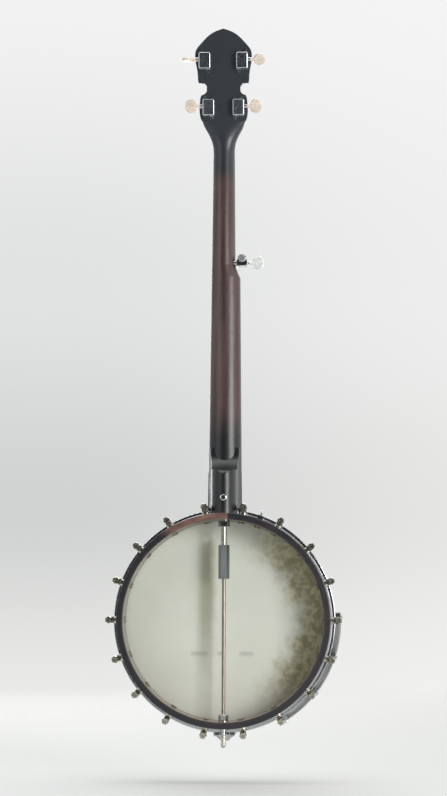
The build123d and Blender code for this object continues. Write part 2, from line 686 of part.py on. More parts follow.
with BuildPart() as heel:
    with BuildSketch(Plane.YZ) as heel_side:
        with BuildLine():
            Polyline((HEEL_CREST_R, HEEL_TOP + 5), (HEEL_START_Y, HEEL_TOP + 5), (HEEL_START_Y, HEEL_TOP))
            EllipticalCenterArc(
                (HEEL_DEEP - HEEL_CREST_R, HEEL_TOP),
                HEEL_DEEP - HEEL_CREST_R - HEEL_START_Y,
                HEEL_TOP - HEEL_CREST,
                180,
                arc_size=90,
            )
            RadiusArc(
                (HEEL_DEEP - HEEL_CREST_R, HEEL_CREST), (HEEL_DEEP, HEEL_CREST - HEEL_CREST_R), HEEL_CREST_R
            )
            Polyline(
                (HEEL_DEEP, HEEL_CREST - HEEL_CREST_R),
                (HEEL_DEEP, BOARD_END_Z - 10),
                (HEEL_CREST_R, BOARD_END_Z - 10),
                (HEEL_CREST_R, HEEL_TOP + 5),
            )
        make_face()
    extrude(amount=BOARD_END_WIDTH, both=True)
    with BuildSketch(Plane.XY.offset(BOARD_END_Z - 20)) as heel_plan:
        with BuildLine():
            half = treble_edge(HEEL_CREST)
            Polyline((0, 0), (half, 0), (half, HEEL_CHEEK_Y))
            Bezier(
                (half, HEEL_CHEEK_Y),
                (half, HEEL_CHEEK_Y + 10),
                (HEEL_BACK_HALF, HEEL_CHEEK_Y + 8),
                (HEEL_BACK_HALF, HEEL_WAIST_Y),
            )
            Line((HEEL_BACK_HALF, HEEL_WAIST_Y), (HEEL_BACK_HALF, HEEL_ROUND_Y))
            EllipticalCenterArc((0, HEEL_ROUND_Y), HEEL_BACK_HALF, HEEL_DEEP - HEEL_ROUND_Y, 0, arc_size=90)
            mirror(about=Plane.YZ)
        make_face()
    extrude(amount=HEEL_TOP - BOARD_END_Z + 40, mode=Mode.INTERSECT)


def peghead_outline(s_low):
    """The peghead's face: a pointed top, two upper ears, a notch and two lower ears each side."""
    with BuildSketch(PEGHEAD) as face:
        with BuildLine():
            Spline(
                (0, 169.3),
                (18.7, 161),
                (29, 151),
                (36.4, 142),
                (38.3, 132.5),
                tangents=((1, -0.25), (0, -1)),
            )
            Spline((38.3, 132.5), (35.7, 115), (34.6, 100.5), tangents=((0, -1), (0, -1)))
            Polyline(
                (34.6, 100.5),
                (33.4, 96.4),
                (25.4, 95.7),
                (22.7, 92.2),
                (22.7, 85.6),
                (25.4, 82.2),
                (30.2, 80.2),
                (31.5, 76.8),
            )
            Spline((31.5, 76.8), (32.7, 62), (31.3, 49.5), tangents=((0.1, -1), (-0.25, -1)))
            Spline(
                (31.3, 49.5),
                (27.5, 42.5),
                (25.2, 35.5),
                (19.2, 25.5),
                (15.2, 12),
                (14.6, s_low),
                tangents=((-0.35, -1), (0, -1)),
            )
            Line((14.6, s_low), (0, s_low))
            mirror(about=Plane.YZ)
        make_face()
    return face.sketch


with BuildPart() as blade:
    extrude(peghead_outline(0), amount=PEGHEAD_THICK, dir=PEGHEAD.z_dir)
    split(bisect_by=Plane.XY.offset(FLARE[-1][0]), keep=Keep.TOP)

with BuildPart() as neck:
    # above the nut the shaft spreads, and its round back flattens into the back of the peghead
    loft(sections=[shaft_section(0, False, SHAFT_DEEP_NUT)] + [flare_section(*step) for step in FLARE])
    loft(
        sections=[
            shaft_section(0, False, SHAFT_DEEP_NUT),
            shaft_section(SHOULDER_TOP, False, shaft_deep(SHOULDER_TOP)),
        ],
        ruled=True,
    )
    loft(
        sections=[
            shaft_section(SHOULDER_TOP, False, shaft_deep(SHOULDER_TOP)),
            shaft_section(SHOULDER_END, True, shaft_deep(SHOULDER_END)),
        ],
        ruled=True,
    )
    loft(
        sections=[
            shaft_section(SHOULDER_END, True, shaft_deep(SHOULDER_END)),
            shaft_section(HEEL_CREST, True, SHAFT_DEEP_HEEL),
        ],
        ruled=True,
    )
    # the shaft's cheeks die into the sides of the heel
    loft(
        sections=[
            shaft_section(HEEL_CREST, True, SHAFT_DEEP_HEEL),
            shaft_section(HEEL_CREST - HEEL_TAPER, True, HEEL_TAPER_DEEP),
        ],
        ruled=True,
    )
    with BuildSketch(STRING_SIDE) as heel_top:
        with BuildLine():
            Polyline(
                (treble_edge(HEEL_CREST), HEEL_CREST),
                (treble_edge(BOARD_END_Z), BOARD_END_Z),
                (-treble_edge(BOARD_END_Z), BOARD_END_Z),
                (-treble_edge(HEEL_CREST), HEEL_CREST),
                close=True,
            )
        make_face()
    extrude(amount=-HEEL_CREST_R - 1)
    add(heel.part)
    # the front of the shaft's top end is cut to the peghead's lean, then the blade is added
    with BuildSketch(PEGHEAD):
        with Locations((0, 30)):
            Rectangle(80, 60)
    extrude(amount=-40, mode=Mode.SUBTRACT)
    add(blade.part)
    # room for the nut, which stands on the shaft
    with Locations((NUT_X, -20, 0)):
        Box(80, 40, 80, mode=Mode.SUBTRACT)
    # the heel fits round the rim, and clears the hoops in front
    with Locations((0, 0, POT_Z)):
        Cylinder(RIM_OUT + FIXED_GAP, 200, rotation=(90, 0, 0), mode=Mode.SUBTRACT)
    with Locations((0, NECK_CUT_HOOP_Y - 50, POT_Z)):
        Cylinder(NECK_CUT_HOOP_R, 100, rotation=(90, 0, 0), mode=Mode.SUBTRACT)
    # holes for the rod, the truss rod, the tuners, the fifth-string tuner and the strap button
    with Locations((0, ROD_Y, NECK_ROD_TOP - 100)):
        Cylinder(UPPER_ROD_R + FIXED_GAP, 200, mode=Mode.SUBTRACT)
    with Locations((TRUSS_X, TRUSS_DEEP / 2 - 1, (TRUSS_TOP + TRUSS_BOTTOM) / 2)):
        Box(TRUSS_WIDE + 0.04, TRUSS_DEEP + 2.04, TRUSS_TOP - TRUSS_BOTTOM + 0.04, mode=Mode.SUBTRACT)
    with Locations(*[PEGHEAD.location * Location((u, s - POST_DROP, 0)) for u, s in TUNERS]):
        Cylinder(BUSHING_R + FIXED_GAP, 60, mode=Mode.SUBTRACT)
    with Locations((SHANK_OUT + SHANK_LONG, FIFTH_WORM_Y, FIFTH_WORM_Z)):
        Cylinder(SHANK_R + FIXED_GAP, 2 * SHANK_LONG, rotation=(0, 90, 0), mode=Mode.SUBTRACT)
    with Locations((0, HEEL_DEEP, STRAP_BUTTON_Z)):
        Cylinder(STRAP_SCREW_R + FIXED_GAP, 2 * STRAP_SCREW_DEEP, rotation=(90, 0, 0), mode=Mode.SUBTRACT)
save(neck, "neck")

with BuildPart() as peghead_overlay:
    extrude(peghead_outline(0.4), amount=OVERLAY_THICK, dir=-PEGHEAD.z_dir)
    with Locations(*[PEGHEAD.location * Location((u, s - POST_DROP, 0)) for u, s in TUNERS]):
        Cylinder(BUSHING_R + FIXED_GAP, 60, mode=Mode.SUBTRACT)
save(peghead_overlay, "peghead_overlay")

with BuildPart() as truss_rod:
    with Locations((TRUSS_X, TRUSS_DEEP / 2, (TRUSS_TOP + TRUSS_BOTTOM) / 2)):
        Box(TRUSS_WIDE, TRUSS_DEEP, TRUSS_TOP - TRUSS_BOTTOM)
save(truss_rod, "truss_rod")


def fret_z(number):
    return -SCALE_LENGTH * (1 - 2 ** (-number / 12))


def board_edges(z):
    with_fifth = z < SHOULDER_TOP
    return bass_edge(z, with_fifth), treble_edge(z)


FRET_PLACES = []
for number in range(1, FRET_COUNT + 1):
    left, right = board_edges(fret_z(number))
    FRET_PLACES.append(((left + right) / 2, fret_z(number), right - left))

DOT_PLACES = []
for number in DOT_FRETS:
    middle_z = (fret_z(number) + fret_z(number - 1)) / 2
    left, right = board_edges(middle_z)
    DOT_PLACES.append(((left + right) / 2, middle_z))

with BuildPart() as fingerboard:
    with BuildSketch(STRING_SIDE):
        with BuildLine():
            Polyline(
                (bass_edge(0, False), 0),
                (bass_edge(SHOULDER_TOP, False), SHOULDER_TOP),
                (bass_edge(SHOULDER_END, True), SHOULDER_END),
                (bass_edge(BOARD_END_Z, True), BOARD_END_Z),
                (treble_edge(BOARD_END_Z), BOARD_END_Z),
                (treble_edge(0), 0),
                close=True,
            )
        make_face()
    extrude(amount=BOARD_THICK)
    for middle, z, width in FRET_PLACES:
        with Locations((middle, -BOARD_THICK, z)):
            Box(width + 4, 2 * FRET_TANG_DEEP, FRET_TANG + 0.02, mode=Mode.SUBTRACT)
    with Locations(*[(x, -BOARD_THICK, z) for x, z in DOT_PLACES]):
        Cylinder(DOT_R, 2 * DOT_DEEP, rotation=(90, 0, 0), mode=Mode.SUBTRACT)
    with Locations((FIFTH_NUT_X, -BOARD_THICK, FIFTH_NUT_Z)):
        Cylinder(FIFTH_NUT_R, 2 * FRET_TANG_DEEP, rotation=(90, 0, 0), mode=Mode.SUBTRACT)
save(fingerboard, "fingerboard")

with BuildPart() as frets:
    for middle, z, width in FRET_PLACES:
        with Locations((middle, -BOARD_THICK, z)):
            Cylinder(FRET_R, width - 1, rotation=(0, 90, 0))
    split(bisect_by=STRING_SIDE.offset(BOARD_THICK), keep=Keep.TOP)
    for middle, z, width in FRET_PLACES:
        with Locations((middle, -BOARD_THICK + FRET_TANG_DEEP / 2, z)):
            Box(width - 1, FRET_TANG_DEEP, FRET_TANG)
save(frets, "frets")

with BuildPart() as position_dots:
    with Locations(*[(x, -BOARD_THICK + DOT_DEEP / 2, z) for x, z in DOT_PLACES]):
        Cylinder(DOT_R - 0.01, DOT_DEEP - 0.01, rotation=(90, 0, 0))
save(position_dots, "position_dots")

STRING_NUT_X = [NUT_X + NUT_STRING_GAP * (1.5 - k) for k in range(4)] + [FIFTH_NUT_X]

with BuildPart() as nut:
    with Locations((NUT_X, -NUT_TOP / 2, NUT_THICK / 2)):
        Box(NUT_WIDTH - 0.6, NUT_TOP - 0.02, NUT_THICK - 0.04)
    fillet(nut.edges().filter_by(Axis.X).group_by(Axis.Y)[0], 1.0)
    for x, radius in zip(STRING_NUT_X[:4], STRING_RADII):
        with Locations((x, STRING_AT_NUT + radius + NUT_SLOT_FALL - 1.5, NUT_THICK / 2)):
            Box(2 * radius + 0.6, 3, 3 * NUT_THICK, mode=Mode.SUBTRACT)
save(nut, "nut")

with BuildPart() as fifth_nut:
    with BuildSketch(STRING_SIDE.offset(BOARD_THICK - FRET_TANG_DEEP + 0.02)):
        with Locations((FIFTH_NUT_X, FIFTH_NUT_Z)):
            Circle(FIFTH_NUT_R - 0.02)
    extrude(amount=NUT_TOP - BOARD_THICK + FRET_TANG_DEEP)
    with Locations((FIFTH_NUT_X, STRING_AT_NUT + STRING_RADII[4] - 1.5, FIFTH_NUT_Z)):
        Box(2 * STRING_RADII[4] + 0.2, 3, 10, mode=Mode.SUBTRACT)
save(fifth_nut, "fifth_nut")

with BuildPart() as truss_cover:
    with BuildSketch(PEGHEAD.offset(-OVERLAY_THICK - 0.01)) as bell:
        with BuildLine():
            Spline((0, 30), (3.2, 24), (6.4, 18), tangents=((0.3, -1), (0.6, -1)))
            Spline((6.4, 18), (8.4, 10), (9.2, 4), tangents=((0.3, -1), (0, -1)))
            Line((9.2, 4), (0, 4))
            mirror(about=Plane.YZ)
        make_face()
    extrude(amount=-TRUSS_COVER_THICK)
    with Locations(*[PEGHEAD.location * Location((0, s, 0)) for s in TRUSS_COVER_SCREWS]):
        Cylinder(TUNER_SCREW_R + FIXED_GAP, 20, mode=Mode.SUBTRACT)
save(truss_cover, "truss_cover")

with BuildPart() as strap_button:
    with BuildSketch(Plane.YZ) as button_half:
        with BuildLine():
            Polyline(
                (HEEL_DEEP + 0.02, STRAP_BUTTON_Z),
                (HEEL_DEEP + 0.02, STRAP_BUTTON_Z + 3.4),
                (HEEL_DEEP + 1.2, STRAP_BUTTON_Z + 3.0),
                (HEEL_DEEP + 3.0, STRAP_BUTTON_Z + 3.2),
                (HEEL_DEEP + 4.4, STRAP_BUTTON_Z + 4.6),
                (HEEL_DEEP + 5.6, STRAP_BUTTON_Z + 4.2),
                (HEEL_DEEP + 6.2, STRAP_BUTTON_Z + 2.6),
                (HEEL_DEEP + 6.2, STRAP_BUTTON_Z),
                close=True,
            )
        make_face()
    revolve(axis=Axis((0, 0, STRAP_BUTTON_Z), (0, 1, 0)))
    with Locations((0, HEEL_DEEP, STRAP_BUTTON_Z)):
        Cylinder(STRAP_SCREW_R + FIXED_GAP, 60, rotation=(90, 0, 0), mode=Mode.SUBTRACT)
save(strap_button, "strap_button")

with BuildPart() as strap_screw:
    with Locations((0, HEEL_DEEP + 6.9, STRAP_BUTTON_Z)):
        Cylinder(STRAP_SCREW_HEAD_R, 1.3, rotation=(90, 0, 0))
    fillet(strap_screw.faces().sort_by(Axis.Y)[-1].edges(), 0.8)
    with Locations((0, HEEL_DEEP + 6.9 - STRAP_SCREW_DEEP / 2 - 3.4, STRAP_BUTTON_Z)):
        Cylinder(STRAP_SCREW_R, STRAP_SCREW_DEEP + 6, rotation=(90, 0, 0))
save(strap_screw, "strap_screw")

# ---------------------------------------------------------------- tuners


def in_peghead(u, s, t):
    """Place in the peghead's own frame: u across, s up from the nut, t back from its face."""
    return PEGHEAD.location * Location((u, s, t))


TUNER_BASE = PEGHEAD_THICK + PLATE_THICK + 0.02
TUNER_SIDES = [1 if u > 0 else -1 for u, s in TUNERS]
TUNER_SCREW_PLACES = []
for side, (u, s) in zip(TUNER_SIDES, TUNERS):
    TUNER_SCREW_PLACES.append((u + side * TUNER_SCREW_OUT, s + TUNER_SCREW_UP))
    TUNER_SCREW_PLACES.append((u - side * TUNER_SCREW_OUT, s - TUNER_SCREW_UP))

PLATE_T = PEGHEAD_THICK + PLATE_THICK / 2 + 0.01

with BuildPart() as tuner_plates:
    with Locations(*[in_peghead(u, s, PLATE_T) for u, s in TUNERS]):
        Box(PLATE_WIDE, PLATE_LONG, PLATE_THICK)
    # an ear for a screw at two opposite corners
    with Locations(*[in_peghead(u, s, PLATE_T) for u, s in TUNER_SCREW_PLACES]):
        Cylinder(PLATE_EAR_R, PLATE_THICK)
    with Locations(*[in_peghead(u, s - POST_DROP, PEGHEAD_THICK) for u, s in TUNERS]):
        Cylinder(POST_R + RUNNING_GAP, 10, mode=Mode.SUBTRACT)
    with Locations(*[in_peghead(u, s, PEGHEAD_THICK) for u, s in TUNER_SCREW_PLACES]):
        Cylinder(TUNER_SCREW_R + FIXED_GAP, 10, mode=Mode.SUBTRACT)
save(tuner_plates, "tuner_plates")

with BuildPart() as tuner_cover:
    with Locations((0, 0, COVER_TALL / 2)):
        Box(COVER_WIDE, COVER_LONG, COVER_TALL)
    fillet(tuner_cover.edges().filter_by(Axis.Z), 2.2)
    fillet(tuner_cover.faces().sort_by(Axis.Z)[-1].edges(), 1.5)
    with Locations((0, 0, (COVER_TALL - COVER_WALL) / 2)):
        Box(
            COVER_WIDE - 2 * COVER_WALL,
            COVER_LONG - 2 * COVER_WALL,
            COVER_TALL - COVER_WALL,
            mode=Mode.SUBTRACT,
        )
    with Locations((COVER_WIDE / 2, WORM_UP, WORM_HIGH)):
        Cylinder(WORM_SHAFT_R + RUNNING_GAP, 6, rotation=(0, 90, 0), mode=Mode.SUBTRACT)
MIRRORED_COVER = tuner_cover.part.mirror(Plane.YZ)
with BuildPart() as tuner_covers:
    for side, (u, s) in zip(TUNER_SIDES, TUNERS):
        with Locations(in_peghead(u, s, TUNER_BASE)):
            add(tuner_cover.part if side > 0 else MIRRORED_COVER)
save(tuner_covers, "tuner_covers")

# the small screws of the peghead: two in each tuner's plate, two in the truss rod's cover
COVER_FACE = -OVERLAY_THICK - TRUSS_COVER_THICK
COVER_MIDDLE = COVER_FACE + TRUSS_COVER_THICK / 2

with BuildPart() as peghead_screws:
    with Locations(*[in_peghead(u, s, TUNER_BASE + 0.4) for u, s in TUNER_SCREW_PLACES]):
        Cylinder(TUNER_SCREW_HEAD_R, 0.8)
    with Locations(*[in_peghead(u, s, TUNER_BASE - PLATE_THICK / 2) for u, s in TUNER_SCREW_PLACES]):
        Cylinder(TUNER_SCREW_R, PLATE_THICK)
    with Locations(*[in_peghead(0, s, COVER_FACE - 0.42) for s in TRUSS_COVER_SCREWS]):
        Cylinder(TUNER_SCREW_HEAD_R, 0.8)
    with Locations(*[in_peghead(0, s, COVER_MIDDLE - 0.02) for s in TRUSS_COVER_SCREWS]):
        Cylinder(TUNER_SCREW_R, TRUSS_COVER_THICK)
save(peghead_screws, "peghead_screws")

BUSHING_T = (BUSHING_DEEP - OVERLAY_THICK - 0.5) / 2

with BuildPart() as tuner_bushings:
    with Locations(*[in_peghead(u, s - POST_DROP, -OVERLAY_THICK - 0.72) for u, s in TUNERS]):
        Cylinder(BUSHING_FLANGE_R, 1.4)
    with Locations(*[in_peghead(u, s - POST_DROP, BUSHING_T) for u, s in TUNERS]):
        Cylinder(BUSHING_R, BUSHING_DEEP + OVERLAY_THICK + 0.5)
    with Locations(*[in_peghead(u, s - POST_DROP, 0) for u, s in TUNERS]):
        Cylinder(POST_R + RUNNING_GAP, 40, mode=Mode.SUBTRACT)
save(tuner_bushings, "tuner_bushings")

# One tuner's moving pieces, modelled with x along the button's shaft and z away from the plate.

with BuildPart() as button_shape:
    with BuildSketch(Plane.XY.offset(-BUTTON_THICK / 2)):
        with Locations((BUTTON_REACH, 0)):
            Ellipse(BUTTON_LONG / 2, BUTTON_WIDE / 2)
    extrude(amount=BUTTON_THICK)
    fillet(button_shape.edges().group_by(Axis.Z)[0] + button_shape.edges().group_by(Axis.Z)[-1], 1.6)
    with Locations((BUTTON_STEM_START + BUTTON_STEM_LONG / 2, 0, 0)):
        Cylinder(BUTTON_STEM_R, BUTTON_STEM_LONG, rotation=(0, 90, 0))
    with Locations((BUTTON_REACH - BUTTON_LONG, 0, 0)):
        Cylinder(WORM_SHAFT_R + 0.01, 2 * BUTTON_LONG - 1.5, rotation=(0, 90, 0), mode=Mode.SUBTRACT)

with BuildPart() as worm_shape:
    with Locations(((WORM_SHAFT_IN + BUTTON_REACH - 1) / 2, 0, 0)):
        Cylinder(WORM_SHAFT_R, BUTTON_REACH - 1 - WORM_SHAFT_IN, rotation=(0, 90, 0))
    Cylinder(WORM_R, WORM_LONG, rotation=(0, 90, 0))
    with Locations(((COVER_WIDE + COLLAR_LONG) / 2 + 0.2, 0, 0)):
        Cylinder(COLLAR_R, COLLAR_LONG, rotation=(0, 90, 0))

with BuildPart() as wheel_shape:
    with Locations((0, 0, WORM_HIGH)):
        Cylinder(GEAR_R, GEAR_THICK)
    with PolarLocations(GEAR_R, GEAR_TEETH):
        with Locations((0, 0, WORM_HIGH)):
            Cylinder(TOOTH_NOTCH_R, 2 * GEAR_THICK, mode=Mode.SUBTRACT)
    with Locations((0, 0, WORM_HIGH)):
        Cylinder(POST_STEP_R + FIXED_GAP, 2 * GEAR_THICK, mode=Mode.SUBTRACT)

with BuildPart() as post_shape:
    with BuildSketch(Plane.XZ) as post_half:
        with BuildLine():
            Polyline(
                (0, -TUNER_BASE - POST_TALL),
                (POST_R - 0.5, -TUNER_BASE - POST_TALL),
                (POST_R, -TUNER_BASE - POST_TALL + 0.5),
                (POST_R, -TUNER_BASE + STRING_WIND_T - 4.5),
                (POST_R - 0.6, -TUNER_BASE + STRING_WIND_T - 2),
                (POST_R - 0.6, -TUNER_BASE + STRING_WIND_T + 1.5),
                (POST_R, -TUNER_BASE + STRING_WIND_T + 3),
                (POST_R, WORM_HIGH - GEAR_THICK / 2 - 0.1),
                (POST_STEP_R, WORM_HIGH - GEAR_THICK / 2 - 0.1),
                (POST_STEP_R, WORM_HIGH + GEAR_THICK / 2 + 0.1),
                (POST_R - 0.2, WORM_HIGH + GEAR_THICK / 2 + 0.1),
                (POST_R - 0.2, WORM_HIGH + GEAR_THICK / 2 + 0.9),
                (0, WORM_HIGH + GEAR_THICK / 2 + 0.9),
                close=True,
            )
        make_face()
    revolve(axis=Axis.Z)
    with Locations((0, 0, -TUNER_BASE + STRING_WIND_T - 6.5)):
        Cylinder(0.8, 20, rotation=(0, 90, 0), mode=Mode.SUBTRACT)

for name, twist, side, (u, s) in zip(TUNER_NAMES, BUTTON_TWISTS, TUNER_SIDES, TUNERS):
    outward = Location((0, 0, 0), (0, 0, 90 - 90 * side))
    shaft_place = in_peghead(u, s + WORM_UP, TUNER_BASE + WORM_HIGH) * outward
    post_place = in_peghead(u, s - POST_DROP, TUNER_BASE)
    with BuildPart() as tuner_button:
        with Locations(shaft_place * Location((0, 0, 0), (twist, 0, 0))):
            add(button_shape.part)
    save(tuner_button, f"{name}_button")
    with BuildPart() as tuner_worm:
        with Locations(shaft_place):
            add(worm_shape.part)
    save(tuner_worm, f"{name}_worm_shaft")
    # the post and the worm wheel on its end are two solids that turn as one
    with BuildPart() as tuner_post:
        with Locations(post_place):
            add(post_shape.part)
            add(wheel_shape.part)
    save(tuner_post, f"{name}_post")

# The fifth string's tuner: a small gear case that is pressed into the side of the neck.

with BuildPart() as fifth_housing:
    with Locations((sum(FIFTH_HOUSE_X) / 2, sum(FIFTH_HOUSE_Y) / 2, FIFTH_WORM_Z)):
        Box(FIFTH_HOUSE_X[1] - FIFTH_HOUSE_X[0], FIFTH_HOUSE_Y[1] - FIFTH_HOUSE_Y[0], FIFTH_HOUSE_LONG)
    fillet(fifth_housing.edges().filter_by(Axis.Y), 3.0)
    fillet(fifth_housing.faces().sort_by(Axis.Y)[-1].edges(), 0.8)
    # the round boss that carries the post
    with Locations((FIFTH_POST_X, sum(FIFTH_HOUSE_Y) / 2, FIFTH_POST_Z)):
        Cylinder(FIFTH_BOSS_R, FIFTH_HOUSE_Y[1] - FIFTH_HOUSE_Y[0], rotation=(90, 0, 0))
    with Locations(((FIFTH_HOUSE_X[1] + SHANK_OUT) / 2, FIFTH_WORM_Y, FIFTH_WORM_Z)):
        Cylinder(SHANK_R + 1.9, SHANK_OUT - FIFTH_HOUSE_X[1] - 0.02, rotation=(0, 90, 0))
    with Locations(((FIFTH_HOUSE_X[1] - 0.5 + SHANK_OUT + SHANK_LONG) / 2, FIFTH_WORM_Y, FIFTH_WORM_Z)):
        Cylinder(SHANK_R, SHANK_OUT + SHANK_LONG - FIFTH_HOUSE_X[1], rotation=(0, 90, 0))
    with Locations((FIFTH_POST_X, FIFTH_WORM_Y, FIFTH_POST_Z)):
        Cylinder(FIFTH_GEAR_R + 0.3, FIFTH_CAVITY_LONG, rotation=(90, 0, 0), mode=Mode.SUBTRACT)
        Cylinder(FIFTH_POST_R + RUNNING_GAP, 30, rotation=(90, 0, 0), mode=Mode.SUBTRACT)
    with Locations((FIFTH_WORM_MIDDLE, FIFTH_WORM_Y, FIFTH_WORM_Z)):
        Cylinder(FIFTH_WORM_R + 0.2, FIFTH_WORM_LONG + 1, rotation=(0, 90, 0), mode=Mode.SUBTRACT)
    with Locations((FIFTH_HOUSE_X[0], FIFTH_WORM_Y, FIFTH_WORM_Z)):
        Cylinder(FIFTH_SHAFT_R + RUNNING_GAP, 10, rotation=(0, 90, 0), mode=Mode.SUBTRACT)
save(fifth_housing, "fifth_housing")

with BuildPart() as fifth_cap:
    with Locations((FIFTH_POST_X, FIFTH_HOUSE_Y[1] + 0.62, FIFTH_POST_Z)):
        Cylinder(FIFTH_CAP_R, 1.2, rotation=(90, 0, 0))
    fillet(fifth_cap.faces().sort_by(Axis.Y)[-1].edges(), 0.6)
    with Locations((FIFTH_POST_X, FIFTH_HOUSE_Y[1] - 0.2, FIFTH_POST_Z)):
        Cylinder(FIFTH_POST_R, 1.0, rotation=(90, 0, 0))
save(fifth_cap, "fifth_cap")

with BuildPart() as fifth_post:
    with BuildSketch(Plane.XY.offset(FIFTH_POST_Z)) as fifth_half:
        with BuildLine():
            Polyline(
                (FIFTH_POST_X, FIFTH_POST_FRONT),
                (FIFTH_POST_X + FIFTH_POST_R, FIFTH_POST_FRONT),
                (FIFTH_POST_X + FIFTH_POST_R, STRING_AT_NUT - 2.5),
                (FIFTH_POST_X + FIFTH_POST_R - 0.5, STRING_AT_NUT - 1.5),
                (FIFTH_POST_X + FIFTH_POST_R - 0.5, STRING_AT_NUT + 1.5),
                (FIFTH_POST_X + FIFTH_POST_R, STRING_AT_NUT + 2.5),
                (FIFTH_POST_X + FIFTH_POST_R, FIFTH_GEAR_FRONT - 0.1),
                (FIFTH_POST_X + FIFTH_STEP_R, FIFTH_GEAR_FRONT - 0.1),
                (FIFTH_POST_X + FIFTH_STEP_R, FIFTH_GEAR_FRONT + FIFTH_GEAR_THICK + 1),
                (FIFTH_POST_X, FIFTH_GEAR_FRONT + FIFTH_GEAR_THICK + 1),
                close=True,
            )
        make_face()
    revolve(axis=Axis((FIFTH_POST_X, 0, FIFTH_POST_Z), (0, 1, 0)))
    with BuildSketch(POT_FACE.offset(FIFTH_GEAR_FRONT)):
        with Locations((FIFTH_POST_X, POT_Z - FIFTH_POST_Z)):
            Circle(FIFTH_GEAR_R)
            with PolarLocations(FIFTH_GEAR_R, FIFTH_GEAR_TEETH):
                Circle(TOOTH_NOTCH_R, mode=Mode.SUBTRACT)
            Circle(FIFTH_STEP_R + FIXED_GAP, mode=Mode.SUBTRACT)
    extrude(amount=FIFTH_GEAR_THICK)
save(fifth_post, "fifth_post")

with BuildPart() as fifth_worm_shaft:
    with Locations(((FIFTH_SHAFT_IN + FIFTH_BUTTON_X) / 2 + 1, FIFTH_WORM_Y, FIFTH_WORM_Z)):
        Cylinder(FIFTH_SHAFT_R, FIFTH_SHAFT_IN - FIFTH_BUTTON_X - 2, rotation=(0, 90, 0))
    with Locations((FIFTH_WORM_MIDDLE, FIFTH_WORM_Y, FIFTH_WORM_Z)):
        Cylinder(FIFTH_WORM_R, FIFTH_WORM_LONG, rotation=(0, 90, 0))
    with Locations((FIFTH_HOUSE_X[0] - 0.7, FIFTH_WORM_Y, FIFTH_WORM_Z)):
        Cylinder(FIFTH_SHAFT_R + 1, 1.0, rotation=(0, 90, 0))
save(fifth_worm_shaft, "fifth_worm_shaft")

FIFTH_BUTTON_PLACE = Plane(
    origin=(FIFTH_BUTTON_X + BUTTON_REACH, FIFTH_WORM_Y, FIFTH_WORM_Z), x_dir=(-1, 0, 0), z_dir=(0, 1, 0)
).location
with BuildPart() as fifth_button:
    with Locations(FIFTH_BUTTON_PLACE):
        add(button_shape.part)
save(fifth_button, "fifth_button")

# ---------------------------------------------------------------- bridge and strings

BRIDGE_STRING_X = [BRIDGE_X + BRIDGE_STRING_GAP * (2 - k) for k in range(5)]
BRIDGE_TOP_Y = HEAD_FRONT - BRIDGE_TALL

BRIDGE_FACE = Plane(origin=(BRIDGE_X, HEAD_FRONT, -SCALE_LENGTH), x_dir=(1, 0, 0), z_dir=(0, 0, -1))

with BuildPart() as bridge:
    # three feet on the head, with an arch between them
    with BuildSketch(BRIDGE_FACE) as bridge_face:
        with BuildLine():
            Polyline((0, 0.02), (4, 0.02), (5.5, 3))
            ThreePointArc((5.5, 3), (13, 8), (21, 3))
            Polyline(
                (21, 3),
                (22.5, 0.02),
                (40, 0.02),
                (40.5, 3),
                (29, BRIDGE_TALL - 2.5),
                (26, BRIDGE_TALL + 0.1),
                (0, BRIDGE_TALL + 0.1),
            )
            mirror(about=Plane.YZ)
        make_face()
    extrude(amount=BRIDGE_THICK / 2, both=True)
    for x, radius in zip(BRIDGE_STRING_X, STRING_RADII):
        with Locations((x, BRIDGE_TOP_Y + radius + BRIDGE_SLOT_FALL - 1.5, -SCALE_LENGTH)):
            Box(2 * radius + 0.8, 3, 10, mode=Mode.SUBTRACT)
save(bridge, "bridge")

POST_OF_STRING = {
    "first": "lower_treble",
    "second": "upper_treble",
    "third": "upper_bass",
    "fourth": "lower_bass",
}


def string_start(name, radius):
    """Where a string leaves the winding on its post."""
    if name == "fifth":
        return Vector(FIFTH_POST_X + FIFTH_POST_R + STRING_WIND_GAP + radius, STRING_AT_NUT, FIFTH_POST_Z)
    place = TUNER_NAMES.index(POST_OF_STRING[name])
    u, s = TUNERS[place]
    across = u - TUNER_SIDES[place] * (POST_R + STRING_WIND_GAP + radius)
    return PEGHEAD.from_local_coords(Vector(across, s - POST_DROP, STRING_WIND_T))


string_solids = []
for k, (name, radius) in enumerate(zip(STRING_NAMES, STRING_RADII)):
    nut_z = FIFTH_NUT_Z if name == "fifth" else NUT_THICK
    start = string_start(name, radius)
    over_nut = Vector(STRING_NUT_X[k], STRING_AT_NUT, nut_z)
    over_bridge = Vector(BRIDGE_STRING_X[k], BRIDGE_TOP_Y, -SCALE_LENGTH)
    at_tail = Vector(TAIL_STRING_X[k], TAIL_COVER_BACK + 1.4, TAIL_PIN_Z + TAIL_PIN_R + radius)
    with BuildPart() as string:
        with BuildLine():
            FilletPolyline(start, over_nut, over_bridge, at_tail, radius=STRING_BEND_R)
        with BuildSketch(Plane(origin=start, z_dir=over_nut - start)):
            Circle(radius)
        sweep()
    string_solids.append(string.part)
with BuildPart() as strings:
    add(string_solids)
save(strings, "strings")
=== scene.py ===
import json
import math

import bmesh
import bpy
from mathutils import Matrix, Vector


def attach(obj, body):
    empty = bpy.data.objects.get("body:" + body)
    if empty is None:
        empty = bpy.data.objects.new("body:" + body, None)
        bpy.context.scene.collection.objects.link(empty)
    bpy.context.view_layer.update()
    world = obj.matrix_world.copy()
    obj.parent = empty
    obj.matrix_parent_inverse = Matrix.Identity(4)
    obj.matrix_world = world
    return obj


# Five-string open-back banjo, finished for a studio view from behind. Metres, +Z up the neck.

